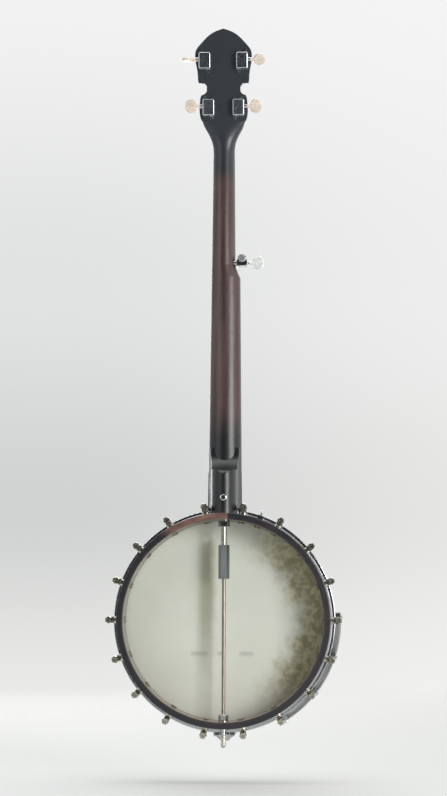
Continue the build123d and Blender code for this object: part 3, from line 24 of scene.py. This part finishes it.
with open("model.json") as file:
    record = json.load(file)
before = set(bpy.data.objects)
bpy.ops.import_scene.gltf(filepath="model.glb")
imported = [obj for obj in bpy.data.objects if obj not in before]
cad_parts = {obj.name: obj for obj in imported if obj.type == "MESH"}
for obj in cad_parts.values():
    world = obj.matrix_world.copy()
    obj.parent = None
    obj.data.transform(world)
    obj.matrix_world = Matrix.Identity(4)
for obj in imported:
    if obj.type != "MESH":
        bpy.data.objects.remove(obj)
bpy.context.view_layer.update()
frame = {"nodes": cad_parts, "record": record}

MM = 0.001
POT_HEIGHT = -0.624
PEGHEAD_LEAN = math.radians(12)
NUT_MIDDLE = 3.2 * MM
NUT_THICKNESS = 5 * MM


# ---------------------------------------------------------------- material tools


def tone(hex_colour):
    """Linear colour of an sRGB hex value."""
    channels = [int(hex_colour[k : k + 2], 16) / 255 for k in (1, 3, 5)]
    return tuple(c / 12.92 if c <= 0.04045 else ((c + 0.055) / 1.055) ** 2.4 for c in channels) + (1,)


def add_node(tree, kind, sockets=None, **settings):
    """Adds one node. Settings are its own properties; sockets take a value or another node's output."""
    made = tree.nodes.new(kind)
    for name, value in settings.items():
        setattr(made, name, value)
    for socket, value in (sockets or {}).items():
        if isinstance(value, bpy.types.NodeSocket):
            tree.links.new(value, made.inputs[socket])
        else:
            made.inputs[socket].default_value = value
    return made


def start_finish(name, **shader):
    """A new material: its tree, its shader and the place of each point on the banjo, in metres."""
    material = bpy.data.materials.new(name)
    material.use_nodes = True
    tree = material.node_tree
    surface = tree.nodes["Principled BSDF"]
    for socket, value in shader.items():
        surface.inputs[socket.replace("_", " ")].default_value = value
    place = add_node(tree, "ShaderNodeTexCoord").outputs["Object"]
    return material, tree, surface, place


def reach(tree, *limits, strength=1.0):
    """How far a layer reaches: strength where every limit is passed, 0 where one isn't, smooth between.
    A limit is a pattern with the value where the layer starts and the value where it is full."""
    share = strength
    for pattern, start, full in limits:
        span = {"Value": pattern, "From Min": start, "From Max": full}
        rise = add_node(tree, "ShaderNodeMapRange", span, interpolation_type="SMOOTHSTEP")
        passed = add_node(tree, "ShaderNodeMath", {0: rise.outputs["Result"], 1: share}, operation="MULTIPLY")
        share = passed.outputs["Value"]
    return share


def lay(tree, base, over, *limits, strength=1.0):
    """The base colour with another laid over it as far as its limits reach."""
    share = reach(tree, *limits, strength=strength)
    return add_node(tree, "ShaderNodeMix", {0: share, 6: base, 7: over}, data_type="RGBA").outputs[2]


def metal(name, colour_low, colour_high, rough_low, rough_high, mark_size, stretch=(1, 1, 1), bump=0.02):
    """Plated or drawn metal: handling marks of a real size change its roughness and, faintly, its colour."""
    material, tree, surface, place = start_finish(name, Metallic=1.0)
    stretched = add_node(tree, "ShaderNodeVectorMath", {0: place, 1: stretch}, operation="MULTIPLY")
    size = {"Scale": 1 / mark_size, "Detail": 5.0, "Roughness": 0.6}
    marks = add_node(tree, "ShaderNodeTexNoise", {"Vector": stretched.outputs[0], **size}).outputs["Fac"]
    colour = add_node(tree, "ShaderNodeValToRGB", {"Fac": marks})
    low_end, high_end = colour.color_ramp.elements
    low_end.position, low_end.color = 0.3, tone(colour_low)
    high_end.position, high_end.color = 0.7, tone(colour_high)
    span = {"From Min": 0.3, "From Max": 0.7, "To Min": rough_low, "To Max": rough_high}
    rough = add_node(tree, "ShaderNodeMapRange", {"Value": marks, **span})
    scratches = {"Height": marks, "Strength": bump, "Distance": mark_size / 8}
    relief = add_node(tree, "ShaderNodeBump", scratches)
    tree.links.new(colour.outputs["Color"], surface.inputs["Base Color"])
    tree.links.new(rough.outputs["Result"], surface.inputs["Roughness"])
    tree.links.new(relief.outputs["Normal"], surface.inputs["Normal"])
    return material


def wood_grain(tree, place, along, pore_width=0.5 * MM, pore_length=9 * MM, band_width=7 * MM):
    """Two patterns of plain-sawn wood along one axis: short dark pores, and broad bands of growth."""
    across = [1 / pore_width] * 3
    across[along] = 1 / pore_length
    wide = [1 / band_width] * 3
    wide[along] = 1 / (band_width * 22)
    patterns = []
    for scale, detail in ((across, 3.0), (wide, 4.0)):
        stretched = add_node(tree, "ShaderNodeVectorMath", {0: place, 1: scale}, operation="MULTIPLY")
        drawn_out = {"Vector": stretched.outputs[0], "Scale": 1.0, "Detail": detail}
        patterns.append(add_node(tree, "ShaderNodeTexNoise", drawn_out).outputs["Fac"])
    return patterns


# ---------------------------------------------------------------- wood finishes


def mahogany_with_black_burst():
    """Mahogany under satin lacquer, sprayed black at both ends and along the fingerboard's edges.
    The eye gets a dull plum-brown shaft with fine long pores that sinks softly into satin black."""
    material, tree, surface, place = start_finish(
        "mahogany_with_black_burst", IOR=1.5, Coat_Weight=0.35, Coat_Roughness=0.3
    )
    pores, bands = wood_grain(tree, place, along=2)
    wood = lay(tree, tone("#412d2c"), tone("#584341"), (bands, 0.35, 0.65))
    wood = lay(tree, wood, tone("#2b1e1c"), (pores, 0.58, 0.7))
    parts = add_node(tree, "ShaderNodeSeparateXYZ", {0: place})
    height, depth = parts.outputs["Z"], parts.outputs["Y"]
    top = reach(tree, (height, -42 * MM, -12 * MM))
    heel = reach(tree, (height, -335 * MM, -392 * MM))
    edges = reach(tree, (depth, 11 * MM, 1 * MM), strength=0.75)
    ends = add_node(tree, "ShaderNodeMath", {0: top, 1: heel}, operation="MAXIMUM").outputs["Value"]
    sprayed = add_node(tree, "ShaderNodeMath", {0: ends, 1: edges}, operation="MAXIMUM").outputs["Value"]
    # painted reflection: the black turns lighter and bluer from the heel towards the peghead
    black = lay(tree, tone("#111416"), tone("#2b3036"), (height, -60 * MM, 10 * MM))
    coated = add_node(tree, "ShaderNodeMix", {0: sprayed, 6: wood, 7: black}, data_type="RGBA")
    tree.links.new(coated.outputs[2], surface.inputs["Base Color"])
    peel_size = {"Vector": place, "Scale": 1 / (2.5 * MM), "Detail": 2.0}
    orange_peel = add_node(tree, "ShaderNodeTexNoise", peel_size).outputs["Fac"]
    rough = add_node(tree, "ShaderNodeMapRange", {"Value": orange_peel, "To Min": 0.3, "To Max": 0.42})
    tree.links.new(rough.outputs["Result"], surface.inputs["Roughness"])
    pits = add_node(tree, "ShaderNodeBump", {"Height": pores, "Strength": 0.12, "Distance": 0.05 * MM})
    low_waves = {"Height": orange_peel, "Strength": 0.15, "Distance": 0.03 * MM}
    waves = add_node(tree, "ShaderNodeBump", {**low_waves, "Normal": pits.outputs["Normal"]})
    tree.links.new(waves.outputs["Normal"], surface.inputs["Normal"])
    return material


def pot_places(tree, place):
    """Angle round the pot, 0 at the neck and rising towards the armrest, and distance from the pot's axis."""
    parts = add_node(tree, "ShaderNodeSeparateXYZ", {0: place})
    mirrored = add_node(tree, "ShaderNodeMath", {0: parts.outputs["X"], 1: -1.0}, operation="MULTIPLY")
    raised = add_node(tree, "ShaderNodeMath", {0: parts.outputs["Z"], 1: -POT_HEIGHT}, operation="ADD")
    left, up = mirrored.outputs["Value"], raised.outputs["Value"]
    angle = add_node(tree, "ShaderNodeMath", {0: left, 1: up}, operation="ARCTAN2").outputs["Value"]
    across = add_node(tree, "ShaderNodeCombineXYZ", {"X": left, "Y": up}).outputs[0]
    radius = add_node(tree, "ShaderNodeVectorMath", {0: across}, operation="LENGTH").outputs["Value"]
    return angle, radius


def bent_ply_rim():
    """Bent plies of maple stained red-brown and sprayed nearly black, satin. The eye gets an aubergine-black
    ring whose stain shows red where the spray is thin: by the neck, and on the edge of the inner wall."""
    material, tree, surface, place = start_finish(
        "bent_ply_rim_dark_burst", IOR=1.5, Coat_Weight=0.3, Coat_Roughness=0.3
    )
    angle, radius = pot_places(tree, place)
    depth = add_node(tree, "ShaderNodeSeparateXYZ", {0: place}).outputs["Y"]
    round_pot = add_node(tree, "ShaderNodeCombineXYZ", {"X": angle, "Y": radius, "Z": depth}).outputs[0]
    plies = {0: round_pot, 1: (9.0, 1 / (0.7 * MM), 1 / (0.9 * MM))}
    stretched = add_node(tree, "ShaderNodeVectorMath", plies, operation="MULTIPLY").outputs[0]
    streaks = {"Vector": stretched, "Scale": 1.0, "Detail": 4.0}
    grain = add_node(tree, "ShaderNodeTexNoise", streaks).outputs["Fac"]
    stain = lay(tree, tone("#5d423a"), tone("#8a6a5e"), (grain, 0.35, 0.65))
    black = lay(tree, tone("#17171b"), tone("#29262c"), (grain, 0.3, 0.7))
    # the stain shows in a patch beside the neck, on the rim's inner edge and, faintly, in clouds
    face = (depth, 57.5 * MM, 59.2 * MM)
    patch = reach(tree, (angle, -0.66, -0.5), (angle, 0.045, 0.035), face, strength=0.85)
    inner_edge = reach(tree, (radius, 132.5 * MM, 129.8 * MM), face, strength=0.18)
    cloud_size = {"Vector": place, "Scale": 1 / (38 * MM), "Detail": 2.0}
    cloud = add_node(tree, "ShaderNodeTexNoise", cloud_size).outputs["Fac"]
    clouds = reach(tree, (cloud, 0.5, 0.75), strength=0.1)
    faint = add_node(tree, "ShaderNodeMath", {0: inner_edge, 1: clouds}, operation="MAXIMUM").outputs["Value"]
    red = add_node(tree, "ShaderNodeMath", {0: patch, 1: faint}, operation="MAXIMUM").outputs["Value"]
    sprayed = add_node(tree, "ShaderNodeMix", {0: red, 6: black, 7: stain}, data_type="RGBA").outputs[2]
    # the inner wall is bare wood, pinker by the tail and shaded by the neck
    bare = lay(tree, tone("#77766d"), tone("#929087"), (grain, 0.3, 0.7))
    pink = lay(tree, tone("#80695f"), tone("#a08a80"), (grain, 0.3, 0.7))
    turned_away = add_node(tree, "ShaderNodeMath", {0: angle}, operation="ABSOLUTE").outputs["Value"]
    wall = lay(tree, bare, pink, (turned_away, 1.9, 2.9))
    wall = lay(tree, wall, tone("#3f3e35"), (turned_away, 0.9, 0.2), strength=0.7)
    inside = (radius, 129.9 * MM, 129.6 * MM)
    below_edge = (depth, 59.6 * MM, 58.8 * MM)
    tree.links.new(lay(tree, sprayed, wall, inside, below_edge), surface.inputs["Base Color"])
    rough = add_node(tree, "ShaderNodeMapRange", {"Value": grain, "To Min": 0.3, "To Max": 0.46})
    tree.links.new(rough.outputs["Result"], surface.inputs["Roughness"])
    relief = add_node(tree, "ShaderNodeBump", {"Height": grain, "Strength": 0.12, "Distance": 0.05 * MM})
    tree.links.new(relief.outputs["Normal"], surface.inputs["Normal"])
    return material


def dark_fingerboard():
    """Oiled rosewood dyed near black. The eye gets long fine pores and no gloss."""
    material, tree, surface, place = start_finish("oiled_dark_rosewood", IOR=1.47)
    pores, bands = wood_grain(tree, place, 2, pore_width=0.35 * MM, pore_length=14 * MM, band_width=4 * MM)
    wood = lay(tree, tone("#231815"), tone("#3a2620"), (bands, 0.35, 0.65))
    wood = lay(tree, wood, tone("#120c0b"), (pores, 0.55, 0.68))
    tree.links.new(wood, surface.inputs["Base Color"])
    rough = add_node(tree, "ShaderNodeMapRange", {"Value": bands, "To Min": 0.42, "To Max": 0.6})
    tree.links.new(rough.outputs["Result"], surface.inputs["Roughness"])
    relief = add_node(tree, "ShaderNodeBump", {"Height": pores, "Strength": 0.25, "Distance": 0.08 * MM})
    tree.links.new(relief.outputs["Normal"], surface.inputs["Normal"])
    return material


def capped_maple_bridge():
    """Bare maple with a strip of ebony glued on its top. The eye gets pale close grain under a black edge."""
    material, tree, surface, place = start_finish("bare_maple_with_ebony_cap", IOR=1.47)
    pores, bands = wood_grain(tree, place, 0, pore_width=0.3 * MM, pore_length=4 * MM, band_width=2 * MM)
    maple = lay(tree, tone("#c49a62"), tone("#dab884"), (bands, 0.35, 0.65))
    maple = lay(tree, maple, tone("#8d6437"), (pores, 0.6, 0.72), strength=0.5)
    banded = {0: bands, 6: tone("#151211"), 7: tone("#2a211d")}
    ebony = add_node(tree, "ShaderNodeMix", banded, data_type="RGBA").outputs[2]
    depth = add_node(tree, "ShaderNodeSeparateXYZ", {0: place}).outputs["Y"]
    capped = lay(tree, maple, ebony, (depth, -10.9 * MM, -11.1 * MM))
    tree.links.new(capped, surface.inputs["Base Color"])
    rough = add_node(tree, "ShaderNodeMapRange", {"Value": pores, "To Min": 0.5, "To Max": 0.62})
    tree.links.new(rough.outputs["Result"], surface.inputs["Roughness"])
    return material


# ---------------------------------------------------------------- skin, plastic and bone


def worn_frosted_head():
    """Polyester film with a frosted coating. The eye gets a pale green-grey skin that has browned in mottled
    patches where a forearm rested, an olive band beside the rod that is partly grime and partly painted
    shade, and the bridge's feet as three faint dashes of painted shade seen through the film."""
    material, tree, surface, place = start_finish("frosted_polyester_head", IOR=1.57, Roughness=0.5)
    angle, radius = pot_places(tree, place)
    parts = add_node(tree, "ShaderNodeSeparateXYZ", {0: place})
    left, height = parts.outputs["X"], parts.outputs["Z"]
    patterns = []
    for size, detail, roughness in ((55, 3.0, 0.5), (24, 6.0, 0.58), (9, 5.0, 0.62), (0.6, 2.0, 0.5)):
        marks = {"Vector": place, "Scale": 1 / (size * MM), "Detail": detail, "Roughness": roughness}
        patterns.append(add_node(tree, "ShaderNodeTexNoise", marks).outputs["Fac"])
    cloud, blotches, flecks, grit = patterns
    clouded = {0: cloud, 6: tone("#d2d4c6"), 7: tone("#e2e4d9")}
    film = add_node(tree, "ShaderNodeMix", clouded, data_type="RGBA").outputs[2]
    # each edge of the wear and of the painted shade wanders by up to 35 mm, and beside the rod by a quarter
    # of that
    wander = {"Value": blotches, "From Min": 0.0, "From Max": 1.0, "To Min": -35 * MM, "To Max": 35 * MM}
    ragged = add_node(tree, "ShaderNodeMapRange", wander, clamp=False).outputs["Result"]
    ragged_places = []
    for middle, share in ((radius, 1.0), (height, 1.0), (left, 0.25)):
        moved = add_node(tree, "ShaderNodeMath", {0: ragged, 1: share, 2: middle}, operation="MULTIPLY_ADD")
        ragged_places.append(moved.outputs["Value"])
    worn_radius, ragged_height, ragged_left = ragged_places
    # wear in a crescent by the armrest, broken into blotches of 5 to 25 mm
    stains = lay(tree, tone("#8d8659"), tone("#c6c09b"), (flecks, 0.38, 0.66))
    crescent = ((angle, 0.1, 0.85), (angle, 2.95, 2.1), (worn_radius, 78 * MM, 114 * MM))
    wear_and_shade = lay(tree, film, stains, *crescent, strength=0.88)
    # a soft olive band that runs down beside the rod, partly grime and partly painted shade where the rod's
    # shadow falls
    sides = ((ragged_left, 8 * MM, 22 * MM), (left, 40 * MM, 26 * MM))
    ends = ((ragged_height, -755 * MM, -585 * MM), (ragged_height, -505 * MM, -530 * MM))
    wear_and_shade = lay(tree, wear_and_shade, tone("#918d6a"), *sides, *ends, strength=0.62)
    # painted shade: the bridge's feet, as faint dark dashes seen through the film
    feet = 0.0
    for start, end in ((-38 * MM, -20 * MM), (1 * MM, 9 * MM), (22 * MM, 44 * MM)):
        soft = 3 * MM
        foot = reach(tree, (left, start - soft, start + soft), (left, end + soft, end - soft))
        feet = add_node(tree, "ShaderNodeMath", {0: foot, 1: feet}, operation="MAXIMUM").outputs["Value"]
    line = reach(tree, (height, -673 * MM, -668 * MM), (height, -663 * MM, -667 * MM), strength=0.3)
    shown = add_node(tree, "ShaderNodeMath", {0: line, 1: feet}, operation="MULTIPLY").outputs["Value"]
    marked = add_node(tree, "ShaderNodeMix", {0: shown, 6: wear_and_shade, 7: tone("#6e6d5c")}, data_type="RGBA")
    tree.links.new(marked.outputs[2], surface.inputs["Base Color"])
    relief = add_node(tree, "ShaderNodeBump", {"Height": grit, "Strength": 0.1, "Distance": 0.02 * MM})
    tree.links.new(relief.outputs["Normal"], surface.inputs["Normal"])
    return material


def pearly_plastic(name, colour_low, colour_high):
    """Cast pearl acrylic. The eye gets a pale ground with soft bright swirls of a few millimetres, glossy."""
    material, tree, surface, place = start_finish(
        name, IOR=1.49, Coat_Weight=0.6, Coat_Roughness=0.08, Subsurface_Weight=0.25
    )
    surface.inputs["Subsurface Radius"].default_value = (1.5 * MM, 1.2 * MM, 0.9 * MM)
    surface.inputs["Subsurface Scale"].default_value = 1.0
    bend = add_node(tree, "ShaderNodeTexNoise", {"Vector": place, "Scale": 1 / (6 * MM), "Detail": 2.0})
    swirl = {0: bend.outputs["Color"], 1: (7 * MM,) * 3, 2: place}
    moved = add_node(tree, "ShaderNodeVectorMath", swirl, operation="MULTIPLY_ADD").outputs[0]
    flake_size = {"Vector": moved, "Scale": 1 / (4 * MM), "Detail": 3.0}
    flakes = add_node(tree, "ShaderNodeTexNoise", flake_size).outputs["Fac"]
    colour = lay(tree, tone(colour_low), tone(colour_high), (flakes, 0.35, 0.65))
    tree.links.new(colour, surface.inputs["Base Color"])
    rough = add_node(tree, "ShaderNodeMapRange", {"Value": flakes, "To Min": 0.16, "To Max": 0.34})
    tree.links.new(rough.outputs["Result"], surface.inputs["Roughness"])
    return material


def plain_moulding(name, colour_low, colour_high, pattern_size, rough_low, rough_high, ior):
    """A cast or polished solid with a faint pattern: bone's streaks, or a moulding's handling marks."""
    material, tree, surface, place = start_finish(name, IOR=ior)
    stretched = add_node(tree, "ShaderNodeVectorMath", {0: place, 1: (0.3, 1, 1)}, operation="MULTIPLY")
    mark_size = {"Vector": stretched.outputs[0], "Scale": 1 / pattern_size, "Detail": 4.0}
    marks = add_node(tree, "ShaderNodeTexNoise", mark_size).outputs["Fac"]
    colour = lay(tree, tone(colour_low), tone(colour_high), (marks, 0.35, 0.65))
    tree.links.new(colour, surface.inputs["Base Color"])
    rough = add_node(tree, "ShaderNodeMapRange", {"Value": marks, "To Min": rough_low, "To Max": rough_high})
    tree.links.new(rough.outputs["Result"], surface.inputs["Roughness"])
    return material


# ---------------------------------------------------------------- finishes on the pieces

# chrome plate, tarnished a little: dark mirror with bright edges and faint cloudy marks
chrome = metal("chrome_plate", "#b9bcc0", "#d6d8da", 0.1, 0.22, 3 * MM)
# steel hex bar, zinc plated: dull grey with lines along the bar from drawing
zinc = metal("zinc_plated_steel", "#8b9092", "#a7acad", 0.34, 0.5, 0.7 * MM, (1, 1, 0.05), 0.1)
# nickel plated steel rod: bright, with faint lines along it
nickel = metal("nickel_plated_rod", "#b4b1ab", "#cbc8c2", 0.18, 0.3, 0.6 * MM, (1, 1, 0.04))
# drawn steel strings: pale and even
string_steel = metal("drawn_string_steel", "#bcbab5", "#d5d3ce", 0.22, 0.36, 0.5 * MM, (1, 1, 0.02))
# nickel silver fret wire: warm white, rubbed bright on its crown
fret_wire = metal("nickel_silver_fret_wire", "#c9c4b6", "#e0dccf", 0.16, 0.3, 0.8 * MM)
# nickel plate: a warm mirror, clouded by handling
nickel_plate = metal("nickel_plate", "#c0bbad", "#dedacd", 0.16, 0.32, 2 * MM)
# satin nickel: catches the room's light all over its face
satin_nickel = metal("satin_nickel", "#d5d6d6", "#ecedec", 0.3, 0.42, 0.8 * MM)
# turned brass ring: yellow under fine turning lines
brass = metal("turned_brass", "#b08d4a", "#cfae6a", 0.25, 0.38, 0.8 * MM)
# satin aluminium hoop: soft grey-white
aluminium = metal("satin_aluminium", "#b7b9ba", "#cfd0d1", 0.32, 0.45, 0.7 * MM)
neck_wood = mahogany_with_black_burst()
rim_wood = bent_ply_rim()
rosewood = dark_fingerboard()
maple = capped_maple_bridge()
head_film = worn_frosted_head()
pearl = pearly_plastic("cast_pearl_acrylic", "#d8c8b8", "#ecdfd2")
white_pearl = pearly_plastic("white_pearl_acrylic", "#d6d8d4", "#f0f1ee")
# old steel rod: browned, with the lines of drawing along it
aged_steel = metal("aged_drawn_steel", "#8f867d", "#aaa198", 0.26, 0.4, 0.6 * MM, (1, 1, 0.04))
# polished bone: cream with short streaks
bone = plain_moulding("polished_bone", "#ded3b8", "#f0e8d2", 1.5 * MM, 0.25, 0.4, 1.53)
# black acrylic cover: deep gloss with faint smears
black_acrylic = plain_moulding("black_acrylic", "#0d0d0f", "#17181b", 6 * MM, 0.12, 0.28, 1.49)
# black dyed veneer under satin lacquer
black_veneer = plain_moulding("black_dyed_veneer", "#101214", "#1b1e21", 1.2 * MM, 0.28, 0.42, 1.5)

FINISHES = {
    "neck_wood": neck_wood,
    "rim_wood": rim_wood,
    "ebony": rosewood,
    "black_veneer": black_veneer,
    "brass": brass,
    "drumhead": head_film,
    "aluminium": aluminium,
    "chrome": chrome,
    "steel": nickel,
    "nickel_silver": fret_wire,
    "bone": bone,
    "pearl": pearl,
    "maple": maple,
    "black_plastic": black_acrylic,
}
# pieces whose finish isn't that of their material slot
OWN_FINISHES = {
    "coupling_sleeve": zinc,
    "strings": string_steel,
    "fifth_cap": satin_nickel,
    "armrest": satin_nickel,
    "lower_rod": aged_steel,
    "fifth_button": white_pearl,
    "hooks": nickel_plate,
    "hook_nuts": nickel_plate,
    "bracket_shoes": nickel_plate,
    "shoe_bolts": nickel_plate,
    "end_nut": nickel_plate,
}

slot_of_node = {part["node"]: part["material_slot"] for part in frame["record"]["subparts"]}
for node_name, piece in frame["nodes"].items():
    finish = OWN_FINISHES.get(node_name, FINISHES[slot_of_node[node_name]])
    piece.data.materials.clear()
    piece.data.materials.append(finish)


# ---------------------------------------------------------------- wound and threaded pieces


def helix(name, body, finish, centre, axis, start, radii, wire_radius, pitch, turns, steps=20, sides=8):
    """A wire wound in a helix: the turns of a string on its post, or the crest of a screw thread.
    It starts on the side that start points to, and its radius goes from the first of radii to the second."""
    axis = Vector(axis).normalized()
    side = Vector(start).normalized()
    other = axis.cross(side)
    mesh = bmesh.new()
    rings = []
    count = int(turns * steps)
    for k in range(count + 1):
        turn = 2 * math.pi * k / steps
        out = side * math.cos(turn) + other * math.sin(turn)
        radius = radii[0] + (radii[1] - radii[0]) * k / count
        middle = Vector(centre) + out * radius + axis * (pitch * turn / (2 * math.pi))
        ring = []
        for j in range(sides):
            around = 2 * math.pi * j / sides
            offset = out * (wire_radius * math.cos(around)) + axis * (wire_radius * math.sin(around))
            ring.append(mesh.verts.new(middle + offset))
        rings.append(ring)
    for first, second in zip(rings, rings[1:]):
        for j in range(sides):
            mesh.faces.new((first[j], second[j], second[(j + 1) % sides], first[(j + 1) % sides]))
    mesh.faces.new(rings[0])
    mesh.faces.new(reversed(rings[-1]))
    bmesh.ops.recalc_face_normals(mesh, faces=mesh.faces)
    data = bpy.data.meshes.new(name)
    mesh.to_mesh(data)
    mesh.free()
    data.shade_smooth()
    data.materials.append(finish)
    piece = bpy.data.objects.new(name, data)
    bpy.context.scene.collection.objects.link(piece)
    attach(piece, body)


def in_peghead(across, up, back):
    """Place in the world of a place in the peghead's own frame, in millimetres."""
    sine, cosine = math.sin(PEGHEAD_LEAN), math.cos(PEGHEAD_LEAN)
    depth = (up * sine + back * cosine) * MM
    height = NUT_THICKNESS + (up * cosine - back * sine) * MM
    return Vector((NUT_MIDDLE - across * MM, depth, height))


# in millimetres: each post's place across and up the peghead, and the radius of its string
STRING_TURNS = {
    "upper_treble": (-25.2, 121.2, 0.15),
    "upper_bass": (25.2, 121.2, 0.21),
    "lower_treble": (-20.2, 58.7, 0.13),
    "lower_bass": (20.2, 58.7, 0.28),
}
POST_AXIS = (0, math.cos(PEGHEAD_LEAN), -math.sin(PEGHEAD_LEAN))
# in millimetres: the post's radius under the first and the last turn, and where along it the first one lies
POST_OUTER = 3.3
POST_WAIST = 2.4
TURNS_START = -9
THIN_STRING = 0.2
for name, (across, up, wire) in STRING_TURNS.items():
    inward = (1, 0, 0) if across > 0 else (-1, 0, 0)
    helix(
        f"{name}_string_turns",
        f"{name}_string_post",
        string_steel,
        in_peghead(across, up, TURNS_START),
        POST_AXIS,
        inward,
        radii=((POST_OUTER + wire) * MM, (POST_WAIST + wire) * MM),
        wire_radius=wire * MM,
        pitch=2.3 * wire * MM,
        turns=5 if wire < THIN_STRING else 3,
    )
helix(
    "fifth_string_turns",
    "fifth_string_post",
    string_steel,
    centre=(-21.8 * MM, -7 * MM, -140.6 * MM),
    axis=(0, 1, 0),
    start=(1, 0, 0),
    radii=(3.03 * MM, 2.3 * MM),
    wire_radius=0.13 * MM,
    pitch=0.3 * MM,
    turns=4,
)

# screw threads that show on the coordinator rod, on either side of its sleeve, in millimetres
ROD_DEPTH = 36
THREAD_PITCH = 1.0
for name, high, low, rod_radius in (("upper", -503.0, -526.6, 3.44), ("lower", -570.6, -585.0, 2.34)):
    helix(
        f"{name}_rod_thread",
        "banjo",
        nickel,
        centre=(0, ROD_DEPTH * MM, low * MM),
        axis=(0, 0, 1),
        start=(1, 0, 0),
        radii=(rod_radius * MM, rod_radius * MM),
        wire_radius=0.18 * MM,
        pitch=THREAD_PITCH * MM,
        turns=int((high - low) / THREAD_PITCH),
    )


# ---------------------------------------------------------------- stage, light and camera


def soft_light(name, size, power, place, aim):
    """A white area light of a size in metres, turned towards the point it aims at."""
    data = bpy.data.lights.new(name, "AREA")
    data.shape = "RECTANGLE"
    data.size, data.size_y = size
    data.energy = power
    lamp = bpy.data.objects.new(name, data)
    lamp.location = place
    lamp.rotation_euler = (Vector(aim) - Vector(place)).to_track_quat("-Z", "Y").to_euler()
    bpy.context.scene.collection.objects.link(lamp)


FLOOR_HEIGHT = -0.832
bpy.ops.mesh.primitive_circle_add(vertices=96, radius=6, fill_type="NGON", location=(0, 0, FLOOR_HEIGHT))
floor = bpy.context.object
floor.name = "pale_floor"
paper = bpy.data.materials.new("pale_paper_floor")
paper.use_nodes = True
paper_tree = paper.node_tree
matt = paper_tree.nodes["Principled BSDF"]
matt.inputs["Base Color"].default_value = tone("#d2d3d1")
matt.inputs["Roughness"].default_value = 0.9
# the paper fades into the backdrop between 0.5 and 3 m from the banjo
floor_place = add_node(paper_tree, "ShaderNodeTexCoord").outputs["Object"]
from_middle = add_node(paper_tree, "ShaderNodeVectorMath", {0: floor_place}, operation="LENGTH")
faded = reach(paper_tree, (from_middle.outputs["Value"], 0.5, 3.0))
clear = add_node(paper_tree, "ShaderNodeBsdfTransparent")
layers = {"Fac": faded, 1: matt.outputs["BSDF"], 2: clear.outputs["BSDF"]}
floor_mix = add_node(paper_tree, "ShaderNodeMixShader", layers)
paper_tree.links.new(floor_mix.outputs["Shader"], paper_tree.nodes["Material Output"].inputs["Surface"])
floor.data.materials.append(paper)

# the studio: a pale seamless backdrop to look at, and a room with a dark side behind the camera to reflect
world = bpy.data.worlds.new("studio")
bpy.context.scene.world = world
world.use_nodes = True
room = world.node_tree
direction = add_node(room, "ShaderNodeTexCoord").outputs["Generated"]
parts = add_node(room, "ShaderNodeSeparateXYZ", {0: direction})
left, back, height = parts.outputs
# the backdrop's tones from the floor upwards, on each side of the banjo: painted shade makes it darker at
# middle height and towards +X
BACKDROP_TONES = (("#f1f1ef", "#e6e6e4", "#eeeeee", "#f4f4f4"), ("#e9e9e7", "#d1d3d2", "#e1e3e2", "#f2f2f2"))
BACKDROP_STEPS = ((-0.05, 0.06), (0.06, 0.19), (0.19, 0.36))
backdrop_sides = []
for lowest, *higher in BACKDROP_TONES:
    backdrop_side = tone(lowest)
    for next_tone, (start, full) in zip(higher, BACKDROP_STEPS):
        backdrop_side = lay(room, backdrop_side, tone(next_tone), (height, start, full))
    backdrop_sides.append(backdrop_side)
backdrop = lay(room, *backdrop_sides, (left, -0.13, 0.13))
backdrop_light = add_node(room, "ShaderNodeBackground", {"Color": backdrop, "Strength": 1.0})
room_sides = lay(room, tone("#cdd0d2"), tone("#fafaf9"), (left, 0.6, -0.6))
dark_end = lay(room, tone("#a9adb0"), tone("#2c3033"), (height, -0.3, -0.08))
room_tone = lay(room, room_sides, dark_end, (back, 0.15, 0.8))
room_light = add_node(room, "ShaderNodeBackground", {"Color": room_tone, "Strength": 1.0})
seen = add_node(room, "ShaderNodeLightPath").outputs["Is Camera Ray"]
views = {"Fac": seen, 1: room_light.outputs["Background"], 2: backdrop_light.outputs["Background"]}
both = add_node(room, "ShaderNodeMixShader", views)
room.links.new(both.outputs["Shader"], room.nodes["World Output"].inputs["Surface"])

soft_light("key_light", (1.1, 1.3), 42.0, (-1.6, 2.1, -0.25), (0, 0, -0.45))
soft_light("fill_light", (1.6, 1.6), 10.0, (1.9, 2.2, 0.3), (0, 0, -0.3))
soft_light("top_light", (2.4, 2.4), 30.0, (0.0, 0.2, 1.9), (0, 0, -0.6))
soft_light("front_light", (2.0, 2.0), 30.0, (0.8, -2.4, 0.4), (0, 0, -0.4))

camera_data = bpy.data.cameras.new("studio_camera")
camera_data.sensor_width = 36
camera_data.lens = 76.884
camera = bpy.data.objects.new("studio_camera", camera_data)
level = Matrix.Rotation(math.pi, 4, "Z") @ Matrix.Rotation(math.pi / 2, 4, "X")
pan = Matrix.Rotation(math.radians(2.078), 4, "Z")
tilt = Matrix.Rotation(math.radians(-7.205), 4, "X")
roll = Matrix.Rotation(math.radians(0.229), 4, "Y")
camera.matrix_world = Matrix.Translation((-0.0793, 2.2603, -0.6146)) @ pan @ tilt @ roll @ level
bpy.context.scene.collection.objects.link(camera)
bpy.context.scene.camera = camera
bpy.context.scene.view_settings.view_transform = "Standard"

bpy.context.view_layer.update()
